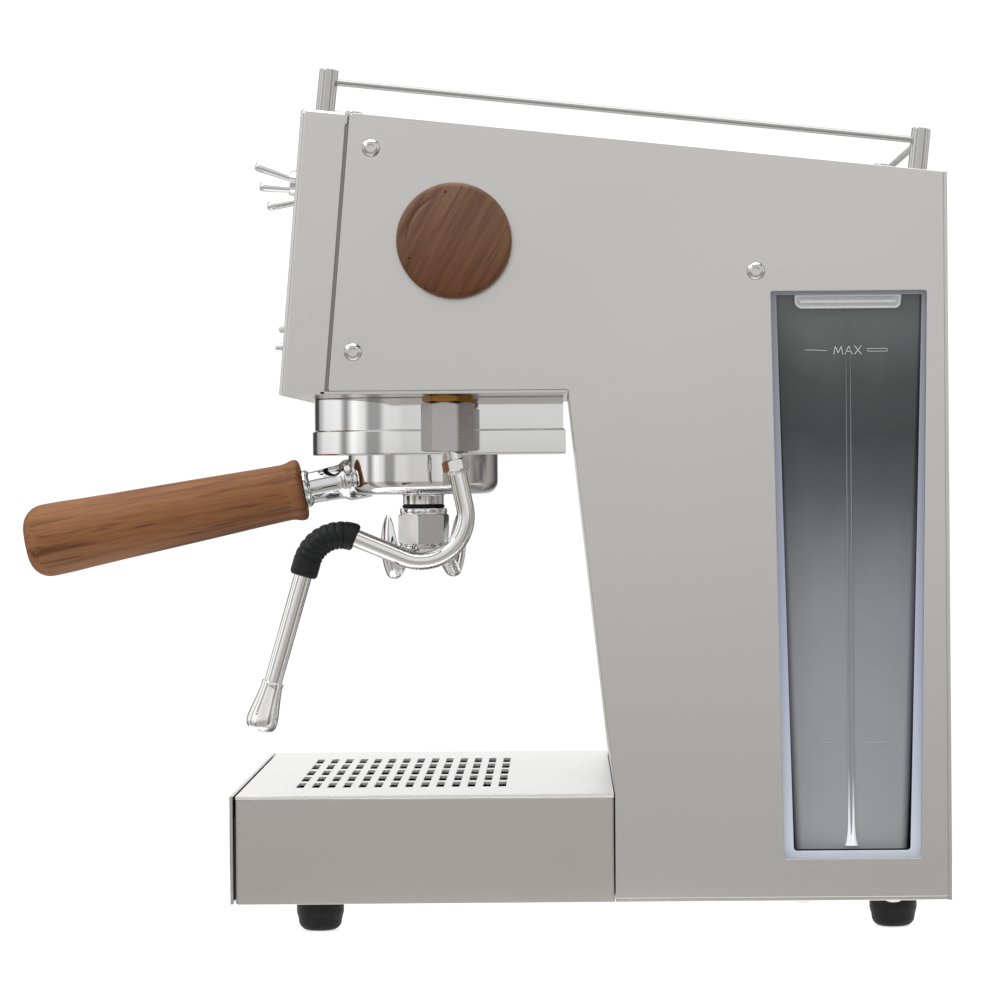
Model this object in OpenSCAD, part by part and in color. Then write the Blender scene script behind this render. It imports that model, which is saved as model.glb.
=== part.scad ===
// Espresso machine: folded steel body with a sloping top, a single brew group with a
// locking portafilter, a ball-jointed steam wand, a drip tray drawer and a side-lit tank.
// Millimetres. +Z is up, -Y faces the user, +X is the user's right. Z = 0 is the counter.

/* [Body] */
// Width over the two side panels
body_w = 270; // [250:1:340]
// Depth from the drawer's front face to the back panel
body_d = 316; // [300:1:380]
// Height of the body's front upper edge above the counter
body_h = 362.5; // [345:0.5:420]
// Thickness of the folded steel sheet
sheet = 1.5; // [1:0.1:2.5]
// Lean of the head's front panel, in degrees from upright
front_lean = 4.85; // [0:0.05:8]
// Fall of the top towards the back, in degrees
top_slope = 6.1; // [3:0.1:9]
// Lean of the spine's front wall, in degrees from upright
spine_lean = 6.2; // [0:0.1:9]
// Depth of the spine at the drip tray's level
spine_d = 147.3; // [140:0.1:160]
// Setback of the head's lower front edge from the drawer's front face
head_setback = 22.9; // [15:0.1:35]
// Height of the head's underside above the counter
head_z = 236.8; // [220:0.1:250]
// Depth of the front panel's side flanges
flange_d = 18; // [12:0.5:24]
// Gap between the front panel's flanges and the side panels
panel_gap = 3; // [1:0.5:4]

/* [Feet] */
// Clear height under the base
foot_h = 13.7; // [10:0.1:25]
// Diameter of a foot at its widest
foot_dia = 21; // [16:0.5:30]
// Distance of the feet's centres from the sides
foot_inset = 25; // [18:0.5:35]
// Distance of the front feet's centres from the drawer's front face
foot_front = 38; // [25:0.5:50]
// Distance of the rear feet's centres from the back
foot_rear = 24; // [18:0.5:35]

/* [Drip tray] */
// Height of the drip grille's top above the counter
tray_h = 61.2; // [50:0.1:70]
// Gap behind the drawer's front plate
drawer_gap = 1; // [0.5:0.1:2]
// Running clearance round the drip drawer
drawer_play = 1; // [0.5:0.1:2]
// Travel of the drip drawer
drawer_travel = 140; // [80:1:160]
// Number of slots across the grille
slot_rows = 5; // [3:1:6]
// Number of slots from front to back
slot_cols = 14; // [8:1:16]
// Length of one slot, along the width
slot_l = 29; // [20:0.5:34]
// Width of one slot
slot_w = 3.4; // [2:0.1:5]
// Pitch of the slots from front to back
slot_pitch = 7; // [6:0.1:9]
// Bar left between two slots along the width
slot_bar = 8; // [5:0.5:12]
// Distance of the first slot's edge from the drawer's front face
slot_front = 26; // [20:0.5:40]

/* [Cup rail] */
// Diameter of a rail post
post_dia = 8.4; // [6:0.1:12]
// Height of a rail post, square to the top
post_h = 20; // [14:0.5:35]
// Distance of the posts from the sides
post_inset = 25; // [18:0.5:35]
// Diameter of the rail's rods
rod_dia = 3; // [2:0.1:4]
// Distance of the rods' centres below the posts' tops
rod_drop = 5.4; // [4:0.1:8]

/* [Brew group] */
// Distance of the group's axis behind the drawer's front face
group_setback = 81.4; // [76:0.1:86]
// Outer radius of the group's cover
cover_r = 52; // [50:0.5:54]
// Height of the group's cover below the head
cover_h = 26.5; // [24:0.5:30]
// Diameter of the portafilter's body
filter_dia = 70.6; // [69:0.1:72]
// Height of the portafilter's underside above the counter
filter_z = 192; // [188:0.5:194]
// Radial clearance of the portafilter in the group
filter_play = 0.6; // [0.4:0.1:1]
// Angle that the portafilter turns to unlock
unlock_angle = 45; // [30:1:50]

/* [Portafilter handle] */
// Diameter of the handle's neck
neck_dia = 15.2; // [12:0.1:18]
// Fall of the handle, in degrees
handle_fall = 10.9; // [0:0.1:15]
// Distance of the handle's front face from the group's axis
handle_start = 56.3; // [50:0.1:70]
// Height of the handle's centre line at that face
handle_z = 194.7; // [190:0.1:200]
// Length of the wooden handle
handle_l = 132.8; // [100:0.1:150]
// Diameter of the handle at its user end
handle_dia = 34; // [26:0.1:38]

/* [Spout] */
// Size of the spout's hexagon, across flats
spout_af = 21.8; // [18:0.1:24]
// Turn of the double spout about the group's axis
spout_turn = 50; // [0:1:90]
// Reach of each spout from the group's axis
spout_reach = 27; // [22:0.5:34]

/* [Steam wand] */
// Distance of the wand's ball from the centre plane
wand_x = 105; // [100:1:112]
// Distance of the wand's ball behind the drawer's front face
wand_setback = 96; // [90:0.5:100]
// Distance of the ball's centre below the head
ball_drop = 14.8; // [13.5:0.1:17]
// Diameter of the wand's ball
ball_dia = 16.4; // [15:0.1:17]
// Diameter of the wand's tube
wand_dia = 8; // [6:0.1:9]
// Lean of the wand's first straight, in degrees from upright
wand_lean = 11.8; // [8:0.1:14]
// Length of the wand below its second bend
wand_l = 55.5; // [30:0.5:58]
// Running clearance of the ball and of its seat
ball_play = 0.08; // [0.03:0.01:0.1]
// Size of the wand's hexagon nut, across flats
wand_nut_af = 21.4; // [21.2:0.1:26]

/* [Steam knob] */
// Diameter of the knob
knob_dia = 50.3; // [40:0.1:60]
// Thickness of the knob
knob_t = 11.5; // [8:0.5:18]
// Gap between the knob and the side panel
knob_gap = 0.8; // [0.5:0.1:2]
// Height of the knob's centre above the counter
knob_z = 303.4; // [290:0.1:312]
// Distance of the knob's centre behind the drawer's front face
knob_setback = 100.3; // [92:0.1:110]
// Diameter of the knob's spindle
spindle_dia = 6; // [5:0.5:8]

/* [Controls] */
// Pitch of the three toggle switches
toggle_pitch = 45; // [30:1:60]
// Height of the toggle switches above the counter
toggle_z = 335; // [325:0.5:340]
// Throw of a toggle either way, in degrees
toggle_throw = 15; // [8:0.5:15]
// Length of a toggle's lever in front of the panel
lever_l = 26; // [22:0.5:30]
// Height of the push button above the counter
button_z = 258; // [250:0.5:270]
// Distance of the push button from the centre plane
button_x = 110; // [90:1:116]
// Travel of the push button
button_travel = 2; // [1:0.1:3]
// Diameter of the pressure gauge's bezel
gauge_dia = 50; // [40:1:56]
// Height of the gauge's centre above the counter
gauge_z = 288; // [278:1:296]

/* [Water tank] */
// Length of the side window at its top
window_top = 68.2; // [50:0.1:76]
// Length of the side window at its bottom
window_bottom = 59.7; // [40:0.1:66]
// Height of the window's lower edge above the counter
window_z = 32.2; // [28:0.1:60]
// Height of the window
window_h = 248.4; // [200:0.1:252]
// Distance of the window's centre from the back
window_rear = 43.4; // [42:0.1:48]
// Gap between the tank and the side panel
tank_gap = 4.5; // [3:0.1:8]
// Width of the tank
tank_w = 92; // [70:1:98]
// Wall of the tank
tank_wall = 2.5; // [2:0.1:4]

/* [Hidden] */
$fn = 64;
eps = 0.01;
steel = "#b9b8b6";
chrome = "#d6d8da";
walnut = "#8a5a3c";
black = "#1d1f1e";
brass = "#b08a3a";

front_y = -body_d / 2;
back_y = body_d / 2;
inner_x = body_w / 2 - sheet;
base_top = foot_h + sheet;
spine_y0 = back_y - spine_d;
head_y0 = front_y + head_setback;
group_y = front_y + group_setback;
wand_y = front_y + wand_setback;
knob_y = front_y + knob_setback;
window_y = back_y - window_rear;
side_setback = flange_d + panel_gap;

// Front face of the head at a height, and height of the top at a depth
function front_at(z) = head_y0 + (z - head_z) * tan(front_lean);
function top_at(y) = body_h - (y - front_at(body_h)) * tan(top_slope);
function spine_at(z) = spine_y0 - (z - tray_h) * tan(spine_lean);
// Point where a line parallel to the front face, set back by d, meets the top less t
function top_corner(d, t = 0) =
  let (s = tan(front_lean) * tan(top_slope),
       z = (body_h - t - d * tan(top_slope) + s * body_h) / (1 + s))
  [front_at(z) + d, z];

sheet_slant = sheet / cos(top_slope);
head_floor_top = head_z + sheet;
ball_z = head_z - ball_drop;
seat_r = ball_dia / 2 + 1.4;
handle_y = group_y - handle_start;
handle_end_y = handle_y - handle_l * cos(handle_fall);
post_front_y = front_at(body_h) + 9;
post_rear_y = back_y - 11;
filter_top = head_z - 15.8;
lug_z = filter_top - 7;
lug_h = 4;
stem_l = 6.6;
seal_t = 1.6;
floor_t = 2.5;
hub_top = filter_z - stem_l;
hub_z = hub_top - 19.5;
inlet_w = 50;
inlet_out = 2;
tank_x1 = inner_x - tank_gap;
tank_x0 = tank_x1 - tank_w;
tank_z0 = window_z + 3.5;
tank_y0 = window_y - window_top / 2 - 3;
tank_y1 = min(window_y + window_top / 2 + 3, back_y - sheet - 3);
tank_z1 = top_at(tank_y1) - sheet_slant - 4;
lid_x0 = tank_x0 + 14;
lid_x1 = body_w / 2 - post_inset - post_dia / 2 - 6;
lid_y0 = tank_y0 + 6;
lid_y1 = tank_y1 - 10;
lid_gap = 0.6;
drawer_w = body_w - 2 * sheet - 2 * drawer_play;
face_t = 1.5;
pan_t = 1.5;
tray_y0 = front_y + face_t + drawer_gap;
tray_y1 = spine_y0 - 0.4;
pan_y0 = front_y + face_t;
pan_y1 = tray_y1 - 6;
pan_z0 = base_top + 0.6;
pan_z1 = tray_h - 10;
valve_x = body_w / 2 - 30;
boiler_r = 36;
basket_r = filter_dia / 2 - 4.7;
screen_r = filter_dia / 2 - 5.3;
group_z0 = head_z - cover_h + 0.8;
flare_r = min(9.8, group_z0 - 0.2 - handle_z - (handle_start - filter_dia / 2) * sin(handle_fall));
hose_r = 3;
hose_z = tank_z0 - 7;
pump_y = spine_y0 + 23.3;
pump_z = 64;

// The row's origin is the middle of the whole machine's outline on the counter
shift_x = -(knob_gap + knob_t - 2.2) / 2;
shift_y = -(handle_end_y + back_y + inlet_out) / 2;
module place() { translate([shift_x, shift_y, 0]) children(); }

// ---- Shared shapes ----

// A flat outline in the YZ plane, given thickness t from x towards +X
module side_plate(x, t, points) {
  translate([x, 0, 0]) rotate([90, 0, 90]) linear_extrude(t) polygon(points);
}
module both_sides() {
  children();
  mirror([1, 0, 0]) children();
}
// A box given by two corners
module block(a, b) { translate(a) cube(b - a); }
// Places children at a height on the front panel, with Z pointing out of it
module on_front(x, z, out = 0) {
  translate([x, front_at(z), z]) rotate([90 - front_lean, 0, 0]) translate([0, 0, out]) children();
}
// Places children on the sloping top, with Z square to it
module on_top(x, y) { translate([x, y, top_at(y)]) rotate([-top_slope, 0, 0]) children(); }
// Places children on the handle's axis, with Z running towards the user
module on_handle() {
  translate([0, handle_y, handle_z]) rotate([90 + handle_fall, 0, 0]) children();
}
module hexagon(af, h) { cylinder(d = af / cos(30), h = h, $fn = 6); }
module ring(r_out, r_in, h) {
  difference() {
    cylinder(r = r_out, h = h);
    translate([0, 0, -1]) cylinder(r = r_in, h = h + 2);
  }
}

// A round bar that starts along Z. Each step is [straight length, bend radius, bend angle],
// and a positive angle bends it towards +Y. The straights are a hair fuller than the bends.
module after_bend(step) {
  side = sign(step[2]) * step[1];
  translate([0, side, step[0]]) rotate([-step[2], 0, 0]) translate([0, -side, 0]) children();
}
module bar(steps, r, i = 0) {
  last = i == len(steps) - 1;
  step = steps[i];
  start = i == 0 ? 0 : -0.5;
  translate([0, 0, start]) cylinder(r = r + 0.03, h = step[0] - start + (last ? 0 : 0.5));
  if (!last) {
    translate([0, sign(step[2]) * step[1], step[0]]) rotate([90, 0, -90 * sign(step[2])])
      rotate_extrude(angle = abs(step[2])) translate([step[1], 0]) circle(r = r);
    after_bend(step) bar(steps, r, i + 1);
  }
}

// ---- Body panels ----

side_outline = [
  [spine_y0, base_top], [spine_y0, tray_h], [spine_at(head_floor_top), head_floor_top],
  [front_at(head_floor_top) + side_setback, head_floor_top], top_corner(side_setback),
  [back_y - sheet, top_at(back_y - sheet)], [back_y - sheet, base_top]
];
screw_spots = [[64.1, 344.6], [55.5, 255.4], [232.1, 289.5]];

module side_panel(window) {
  difference() {
    side_plate(inner_x, sheet, side_outline);
    if (window)
      side_plate(inner_x - 1, sheet + 2, [
        [window_y - window_bottom / 2, window_z], [window_y + window_bottom / 2, window_z],
        [window_y + window_top / 2, window_z + window_h],
        [window_y - window_top / 2, window_z + window_h]
      ]);
    for (s = screw_spots)
      translate([inner_x - 1, front_y + s[0], s[1]]) rotate([0, 90, 0])
        cylinder(d = 4, h = sheet + 2);
    if (window)
      translate([inner_x - 1, knob_y, knob_z]) rotate([0, 90, 0])
        cylinder(d = spindle_dia + 5, h = sheet + 2);
  }
}
module side_panel_right() { color(steel) place() side_panel(true); }
module side_panel_left() { color(steel) place() mirror([1, 0, 0]) side_panel(false); }

// The front panel is one sheet bent round the sides and over the top
module front_panel() {
  color(steel) place() difference() {
    side_plate(-body_w / 2, body_w, [
      [front_at(head_z), head_z], [front_at(head_z) + flange_d, head_z],
      top_corner(flange_d), top_corner(0)
    ]);
    side_plate(-inner_x, 2 * inner_x, [
      [front_at(head_z - 1) + sheet, head_z - 1], [front_at(head_z - 1) + flange_d + 1, head_z - 1],
      top_corner(flange_d + 1, sheet_slant), top_corner(sheet, sheet_slant)
    ]);
    for (x = toggle_x) on_front(x, toggle_z, -sheet - 1) cylinder(d = bush_d, h = sheet + 2);
    on_front(button_x, button_z, -sheet - 1) cylinder(d = 7, h = sheet + 2);
    on_front(button_x, button_z + 8, -sheet - 1) cylinder(d = 3, h = sheet + 2);
    on_front(0, gauge_z, -sheet - 1) cylinder(d = gauge_dia - 4, h = sheet + 2);
    for (x = [-1, 1] * (body_w / 2 - post_inset))
      on_top(x, post_front_y) translate([0, 0, -5]) cylinder(d = 4, h = 10);
  }
}

// The sloping top, between the side panels, with the tank's filling mouth
module top_cover() {
  y0 = top_corner(flange_d + 0.5)[0];
  color(steel) place() difference() {
    side_plate(-inner_x, 2 * inner_x, [
      [y0, top_at(y0) - sheet_slant], [y0, top_at(y0)],
      [back_y - sheet, top_at(back_y - sheet)],
      [back_y - sheet, top_at(back_y - sheet) - sheet_slant]
    ]);
    block([lid_x0 - lid_gap, lid_y0 - lid_gap, 0], [lid_x1 + lid_gap, lid_y1 + lid_gap, body_h]);
    for (x = [-1, 1] * (body_w / 2 - post_inset))
      on_top(x, post_rear_y) translate([0, 0, -5]) cylinder(d = 4, h = 10);
  }
}

// Floor of the head, with holes for the group and for the wand's gland
module head_floor() {
  color(steel) place() difference() {
    side_plate(-body_w / 2, body_w, [
      [front_at(head_z) + sheet, head_z], [front_at(head_floor_top) + sheet, head_floor_top],
      [spine_at(head_floor_top), head_floor_top], [spine_at(head_z), head_z]
    ]);
    for (s = [-1, 1]) block(
      [s > 0 ? inner_x : -body_w, front_y, head_z - 1],
      [s > 0 ? body_w : -inner_x, front_at(head_z) + side_setback - panel_gap, head_z + 9]);
    translate([0, group_y, head_z - 1]) cylinder(r = 30, h = sheet + 2);
    translate([wand_x, wand_y, head_z - 1]) cylinder(d = 10, h = sheet + 2);
  }
}

// Folded frame inside the head that bridges the gap between the panels
module inner_frame() {
  x = inner_x - 0.1 - sheet;
  color("#8f9092") place() {
    both_sides() difference() {
      side_plate(x, sheet, [
        [front_at(head_floor_top) + sheet + 0.3, head_floor_top],
        [front_at(head_floor_top) + 80, head_floor_top],
        top_corner(80, sheet_slant), top_corner(sheet + 0.3, sheet_slant)
      ]);
      translate([x - 1, knob_y, knob_z]) rotate([0, 90, 0]) cylinder(d = 34, h = sheet + 2);
      for (s = screw_spots)
        translate([x - 1, front_y + s[0], s[1]]) rotate([0, 90, 0])
          cylinder(d = 4, h = sheet + 2);
    }
    both_sides() block([x - 12, front_at(head_floor_top) + 62, head_floor_top],
      [x, front_at(head_floor_top) + 72, head_floor_top + sheet]);
  }
}

module spine_wall() {
  t = sheet / cos(spine_lean);
  color(steel) place() side_plate(-inner_x, 2 * inner_x, [
    [spine_y0, base_top], [spine_y0 + t, base_top], [spine_y0 + t, tray_h],
    [spine_at(head_z) + t, head_z], [spine_at(head_z), head_z], [spine_y0, tray_h]
  ]);
}

// Back panel with a flanged cut-out for the inlet and two rows of vents
module back_panel() {
  color(steel) place() difference() {
    block([-body_w / 2, back_y - sheet, foot_h], [body_w / 2, back_y, top_at(back_y)]);
    block([inlet_x - 14, back_y - sheet - 1, inlet_z - 10],
      [inlet_x + 14, back_y + 1, inlet_z + 10]);
    for (i = [-5 : 5], z = [235, 285])
      translate([i * 9 - 55, back_y + 1, z]) rotate([90, 0, 0])
        linear_extrude(sheet + 2) union() {
          square([4, 26], center = true);
          for (s = [-1, 1]) translate([0, 13 * s]) circle(d = 4);
        }
  }
}

module base_plate() {
  color(steel) place() difference() {
    block([-body_w / 2, spine_y0, foot_h], [body_w / 2, back_y - sheet, base_top]);
    for (x = [-1, 1] * (body_w / 2 - foot_inset))
      translate([x, back_y - foot_rear, foot_h - 1]) cylinder(d = 5, h = sheet + 2);
  }
}

// Fixed housing of the drip tray: a floor, two sides and a back, open in front
module tray_housing() {
  top = tray_h - sheet;
  color(steel) place() difference() {
    block([-body_w / 2, tray_y0, foot_h], [body_w / 2, tray_y1, top]);
    block([-inner_x, tray_y0 - 1, base_top], [inner_x, tray_y1 - sheet, top + 1]);
    for (x = [-1, 1] * (body_w / 2 - foot_inset))
      translate([x, front_y + foot_front, foot_h - 1]) cylinder(d = 5, h = sheet + 2);
  }
}

// Four rubber feet, each with a stud through the sheet above it
module feet() {
  r = foot_dia / 2;
  color(black) place()
    for (x = [-1, 1] * (body_w / 2 - foot_inset), y = [front_y + foot_front, back_y - foot_rear])
      translate([x, y, 0]) rotate_extrude() union() {
        polygon([[0, 0], [r - 5.4, 0], [r - 5.4, 4.5], [r - 0.9, 4.5], [r, foot_h - 2], [r, foot_h],
          [2.5, foot_h], [2.5, foot_h + sheet], [0, foot_h + sheet]]);
        intersection() {
          translate([r - 5.4, 4.5]) circle(r = 4.5);
          square([r, 4.5]);
        }
      }
}

// Button-head screw with a hexagon socket, its head standing on z = 0
module button_screw(d, h, shank) {
  difference() {
    rotate_extrude() polygon([[0, -shank], [2, -shank], [2, 0], [d / 2, 0], [d / 2, h * 0.35],
      [d * 0.42, h * 0.75], [d * 0.3, h], [0, h]]);
    translate([0, 0, h * 0.35]) hexagon(2.5, h);
  }
}
module panel_screws() {
  color("#a9a7a3") place() both_sides()
    for (s = screw_spots) translate([body_w / 2, front_y + s[0], s[1]]) rotate([0, 90, 0])
      button_screw(8, 2.2, 3);
}
module base_screws() {
  color("#a9a7a3") place() both_sides()
    for (y = [65, 25]) translate([inner_x - 9, back_y - y, foot_h]) rotate([180, 0, 0])
      button_screw(7.5, 2, -eps);
}

// ---- Cup rail ----

// Children at the middle of each rod's height over the top
module at_rod(x, y) { on_top(x, y) translate([0, 0, post_h - rod_drop]) children(); }
module side_rod() {
  at_rod(post_x, post_front_y) rotate([-90, 0, 0])
    cylinder(d = rod_dia, h = rod_l - rod_dia / 2 - 0.2);
}
module rear_rod() {
  at_rod(-post_x, post_rear_y) rotate([0, 90, 0]) cylinder(d = rod_dia, h = 2 * post_x);
}
rod_l = (post_rear_y - post_front_y) / cos(top_slope);
post_x = body_w / 2 - post_inset;

module rail_posts() {
  color(chrome) place() difference() {
    union() for (x = [-1, 1] * post_x, y = [post_front_y, post_rear_y]) on_top(x, y) {
      cylinder(d = post_dia, h = post_h);
      translate([0, 0, -5]) cylinder(d = 4, h = 6);
    }
    both_sides() side_rod();
    rear_rod();
  }
}
module rail_rods() {
  color(chrome) place() {
    both_sides() side_rod();
    rear_rod();
  }
}

// ---- Drip tray ----

// Slotted grille with locating lips that drop inside the housing
module drip_grille() {
  row_pitch = slot_l + slot_bar;
  color("#e4e5e6") place() {
    difference() {
      block([-body_w / 2, tray_y0, tray_h - sheet], [body_w / 2, tray_y1, tray_h]);
      for (i = [0 : slot_rows - 1], j = [0 : slot_cols - 1])
        translate([(i - (slot_rows - 1) / 2) * row_pitch, front_y + slot_front + slot_w / 2
          + j * slot_pitch, tray_h - sheet - 1]) linear_extrude(sheet + 2)
          square([slot_l, slot_w], center = true);
    }
    both_sides() block([inner_x - sheet - 0.5, tray_y0 + 8, tray_h - sheet - 5],
      [inner_x - 0.5, tray_y1 - 8, tray_h - sheet]);
  }
}

// Drawer pan that slides out to the front under the grille: a folded trough ...
module drip_drawer() {
  w = drawer_w / 2;
  color("#c9cacb") place() difference() {
    block([-w, pan_y0 + pan_t, pan_z0], [w, pan_y1 - pan_t, pan_z1]);
    block([-w + pan_t, pan_y0, pan_z0 + pan_t], [w - pan_t, pan_y1, pan_z1 + 1]);
  }
}
// ... with a plate welded on each end
module drawer_ends() {
  w = drawer_w / 2;
  color("#c9cacb") place() {
    block([-w, pan_y0, pan_z0], [w, pan_y0 + pan_t, pan_z1]);
    block([-w, pan_y1 - pan_t, pan_z0], [w, pan_y1, pan_z1]);
  }
}
// Front plate of the drawer, with a finger lip folded under it
module drawer_front() {
  color(steel) place() {
    block([-body_w / 2, front_y, foot_h], [body_w / 2, front_y + face_t, tray_h]);
  }
}

// ---- Brew group ----

// Outline in plan of the cover, r being its front radius
module cover_plan(r) {
  union() {
    circle(r = r, $fn = 96);
    translate([-r, 0]) square([2 * r, spine_at(head_z - cover_h) - 4 - group_y]);
  }
}
module group_cover() {
  z0 = head_z - cover_h;
  step_h = cover_h - 11.4;
  color(chrome) place() translate([0, group_y, z0]) difference() {
    union() {
      linear_extrude(11.4) cover_plan(cover_r);
      translate([0, 0, 11.4]) linear_extrude(step_h) cover_plan(cover_r - 1);
    }
    translate([0, 0, -1]) linear_extrude(cover_h - 2 + 1) cover_plan(cover_r - 3);
    translate([0, 0, cover_h - 3]) cylinder(r = 47.3, h = 4);
  }
}
// Group casting with the annular groove and the two entry slots for the lugs
module group_head() {
  bore = filter_dia / 2 + filter_play;
  color("#c8c4b6") place() translate([0, group_y, 0]) difference() {
    translate([0, 0, group_z0]) cylinder(r = 47, h = head_z - group_z0);
    translate([0, 0, group_z0 - 1]) cylinder(r = bore, h = filter_top + 6 - group_z0 + 1);
    translate([0, 0, lug_z - 0.5]) cylinder(r = bore + 6, h = lug_h + 1.5);
    for (a = [0, 180]) rotate([0, 0, a - unlock_angle]) translate([0, 0, group_z0 - 1]) intersection() {
      cylinder(r = bore + 6, h = lug_z - group_z0 + 2);
      translate([0, -13, -1]) cube([60, 26, 20]);
    }
    translate([0, 0, filter_top]) cylinder(r = 3, h = 30);
  }
}
module group_gasket() {
  color(black) place() translate([0, group_y, filter_top + 0.35])
    ring(filter_dia / 2 + filter_play, screen_r + 0.2, 5.65);
}
module shower_screen() {
  color(chrome) place() translate([0, group_y, filter_top + 1]) difference() {
    cylinder(r = screen_r, h = 5);
    translate([0, 0, 1.2]) cylinder(r = screen_r - 1.4, h = 5);
    for (k = [1 : 3], a = [0 : 60 / k : 359]) rotate([0, 0, a]) translate([k * screen_r / 3.75, 0, -1])
      cylinder(d = 2.4, h = 4);
    translate([0, 0, -1]) cylinder(r = 2.5, h = 4);
  }
}
module shower_screw() {
  color(chrome) place() translate([0, group_y, filter_top + 1]) {
    translate([0, 0, -2]) cylinder(r = 4.5, h = 2);
    cylinder(r = 2.5, h = 10);
  }
}

// ---- Portafilter ----

module portafilter_body() {
  r = filter_dia / 2;
  h = filter_top - filter_z;
  color(chrome) place() {
    difference() {
      translate([0, group_y, filter_z]) union() {
        difference() {
          rotate_extrude() union() {
            polygon([[0, 0], [r - 5, 0], [r - 5, 5], [r, 5], [r, h - 1], [0, h - 1]]);
            intersection() {
              translate([r - 5, 5]) circle(r = 5);
              translate([r - 5, 0]) square(5);
            }
          }
          translate([0, 0, floor_t]) cylinder(r = basket_r + 0.4, h = h);
        }
        translate([0, 0, lug_z - filter_z]) intersection() {
          ring(r + 5.4, r - 1, lug_h);
          cube([2 * r + 20, 22, 20], center = true);
        }
        translate([0, 0, -stem_l]) cylinder(d = 18, h = stem_l + 0.5);
        translate([0, 0, seal_t - stem_l]) cylinder(d = 19.4, h = stem_l - seal_t + 0.5);
      }
      translate([0, group_y, filter_z - stem_l - 1]) cylinder(d = 8, h = stem_l + 6);
      on_handle() translate([0, 0, -handle_start]) cylinder(d = 9, h = handle_start);
      translate([0, group_y, filter_z + floor_t]) cylinder(r = basket_r + 0.4, h = h);
    }
  }
}
// Steel basket that hangs by its rim on the portafilter's edge
module filter_basket() {
  h = filter_top - filter_z;
  color("#d0d0ce") place() translate([0, group_y, filter_z]) difference() {
    union() {
      translate([0, 0, h - 1]) cylinder(r = filter_dia / 2 - 0.6, h = 1);
      translate([0, 0, floor_t + 1]) cylinder(r = basket_r, h = h - floor_t - 1.5);
    }
    translate([0, 0, floor_t + 2]) cylinder(r = basket_r - 1, h = h);
    for (k = [1 : 3], a = [0 : 60 / k : 359]) rotate([0, 0, a]) translate([k * basket_r / 4.08, 0, floor_t])
      cylinder(d = 1.5, h = 4);
  }
}
// Chrome neck that flares into the body, with the stud that holds the handle
module portafilter_neck() {
  n = neck_dia / 2;
  color(chrome) place() difference() {
    on_handle() {
      rotate_extrude() polygon([
        [0, -handle_start], [flare_r, -handle_start], [flare_r, -handle_start + filter_dia / 2],
        [n + 0.6, -handle_start + filter_dia / 2 + 4], [n, -4], [n + 1.2, -2.2], [n + 1.2, 0],
        [0, 0]
      ]);
      cylinder(d = 8, h = 26);
    }
    translate([0, group_y, filter_z - 30]) cylinder(d = filter_dia, h = 90);
  }
}
// Turned wooden handle with a blind hole for the stud
module portafilter_handle() {
  r = handle_dia / 2;
  dome = 9;
  color(walnut) place() on_handle() difference() {
    rotate_extrude() union() {
      polygon([
        [0, 0], [13.4, 0], [14.45, 1.2], [14.45, 3.6], [13.3, 7], [13.3, 12], [14.6, 50],
        [r - 0.5, handle_l - 28], [r, handle_l - 16], [r - 0.4, handle_l - dome],
        [r - dome, handle_l - dome], [r - dome, handle_l], [0, handle_l]
      ]);
      intersection() {
        translate([r - dome - 0.4, handle_l - dome]) circle(r = dome);
        translate([0, handle_l - dome]) square([r, dome]);
      }
    }
    translate([0, 0, -eps]) cylinder(d = 8, h = 27);
  }
}
module spout_seal() {
  color(black) place() translate([0, group_y, hub_top]) ring(10, 9, seal_t);
}
// Hexagonal hub with two open scoops that leave it on opposite sides
module double_spout() {
  color(chrome) place() translate([0, group_y, hub_z]) difference() {
    union() {
      cylinder(d = spout_af + 1.6, h = 2.4);
      intersection() {
        translate([0, 0, 2.4]) hexagon(spout_af, 14.3);
        translate([0, 0, 2.4]) cylinder(d1 = spout_af * 1.09, d2 = spout_af * 1.15, h = 14.3);
      }
      translate([0, 0, 16.7]) cylinder(d = spout_af + 0.8, h = 2.8);
      rotate([0, 0, spout_turn]) for (m = [0, 1]) mirror([0, m, 0]) scoop();
    }
    translate([0, 0, 8]) cylinder(d = 18, h = 20);
    translate([0, 0, 1]) cylinder(d = 8, h = 20);
    rotate([0, 0, spout_turn]) for (m = [0, 1]) mirror([0, m, 0])
      side_plate(-4, 8, [
        [-1, -0.5], [8, -2.5], [spout_reach - 9, -9], [spout_reach - 7, -11.4],
        [spout_reach - 4.2, -7.6], [spout_reach - 2.2, 0], [spout_reach - 2.3, 5],
        [spout_reach - 9, 5], [11.2, 1.6], [-1, 1.6]
      ]);
  }
}
// One scoop: its floor falls from the hub to the tip, and its outer wall stands up past it
module scoop() {
  r = spout_reach;
  side_plate(-5.3, 10.6, [
    [0, 1], [0, -2], [9, -5], [r - 9.5, -11], [r - 7, -13.9], [r - 3, -8.4], [r - 0.7, 0],
    [r - 0.8, 9], [r - 2, 17], [r - 3.2, 17], [r - 2.4, 8], [r - 4, 1.6], [10, 1.6]
  ]);
}

// ---- Steam wand ----

lower_bend = -96.5;
wand_steps = [[35.7, 20, 124.5], [23.3, 16, lower_bend], [wand_l, 0, 0]];
grip_steps = [[0.6, 16, lower_bend], [6.8, 0, 0]];
gland_h = 3.3;
nut_drop = 10.5;
nut_turn = -8;

// Places children at the ball, along the wand's first straight
module on_wand() {
  translate([wand_x, wand_y, ball_z]) rotate([180 + wand_lean, 0, 0]) children();
}
module past_bends() { after_bend(wand_steps[0]) after_bend(wand_steps[1]) children(); }

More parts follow.
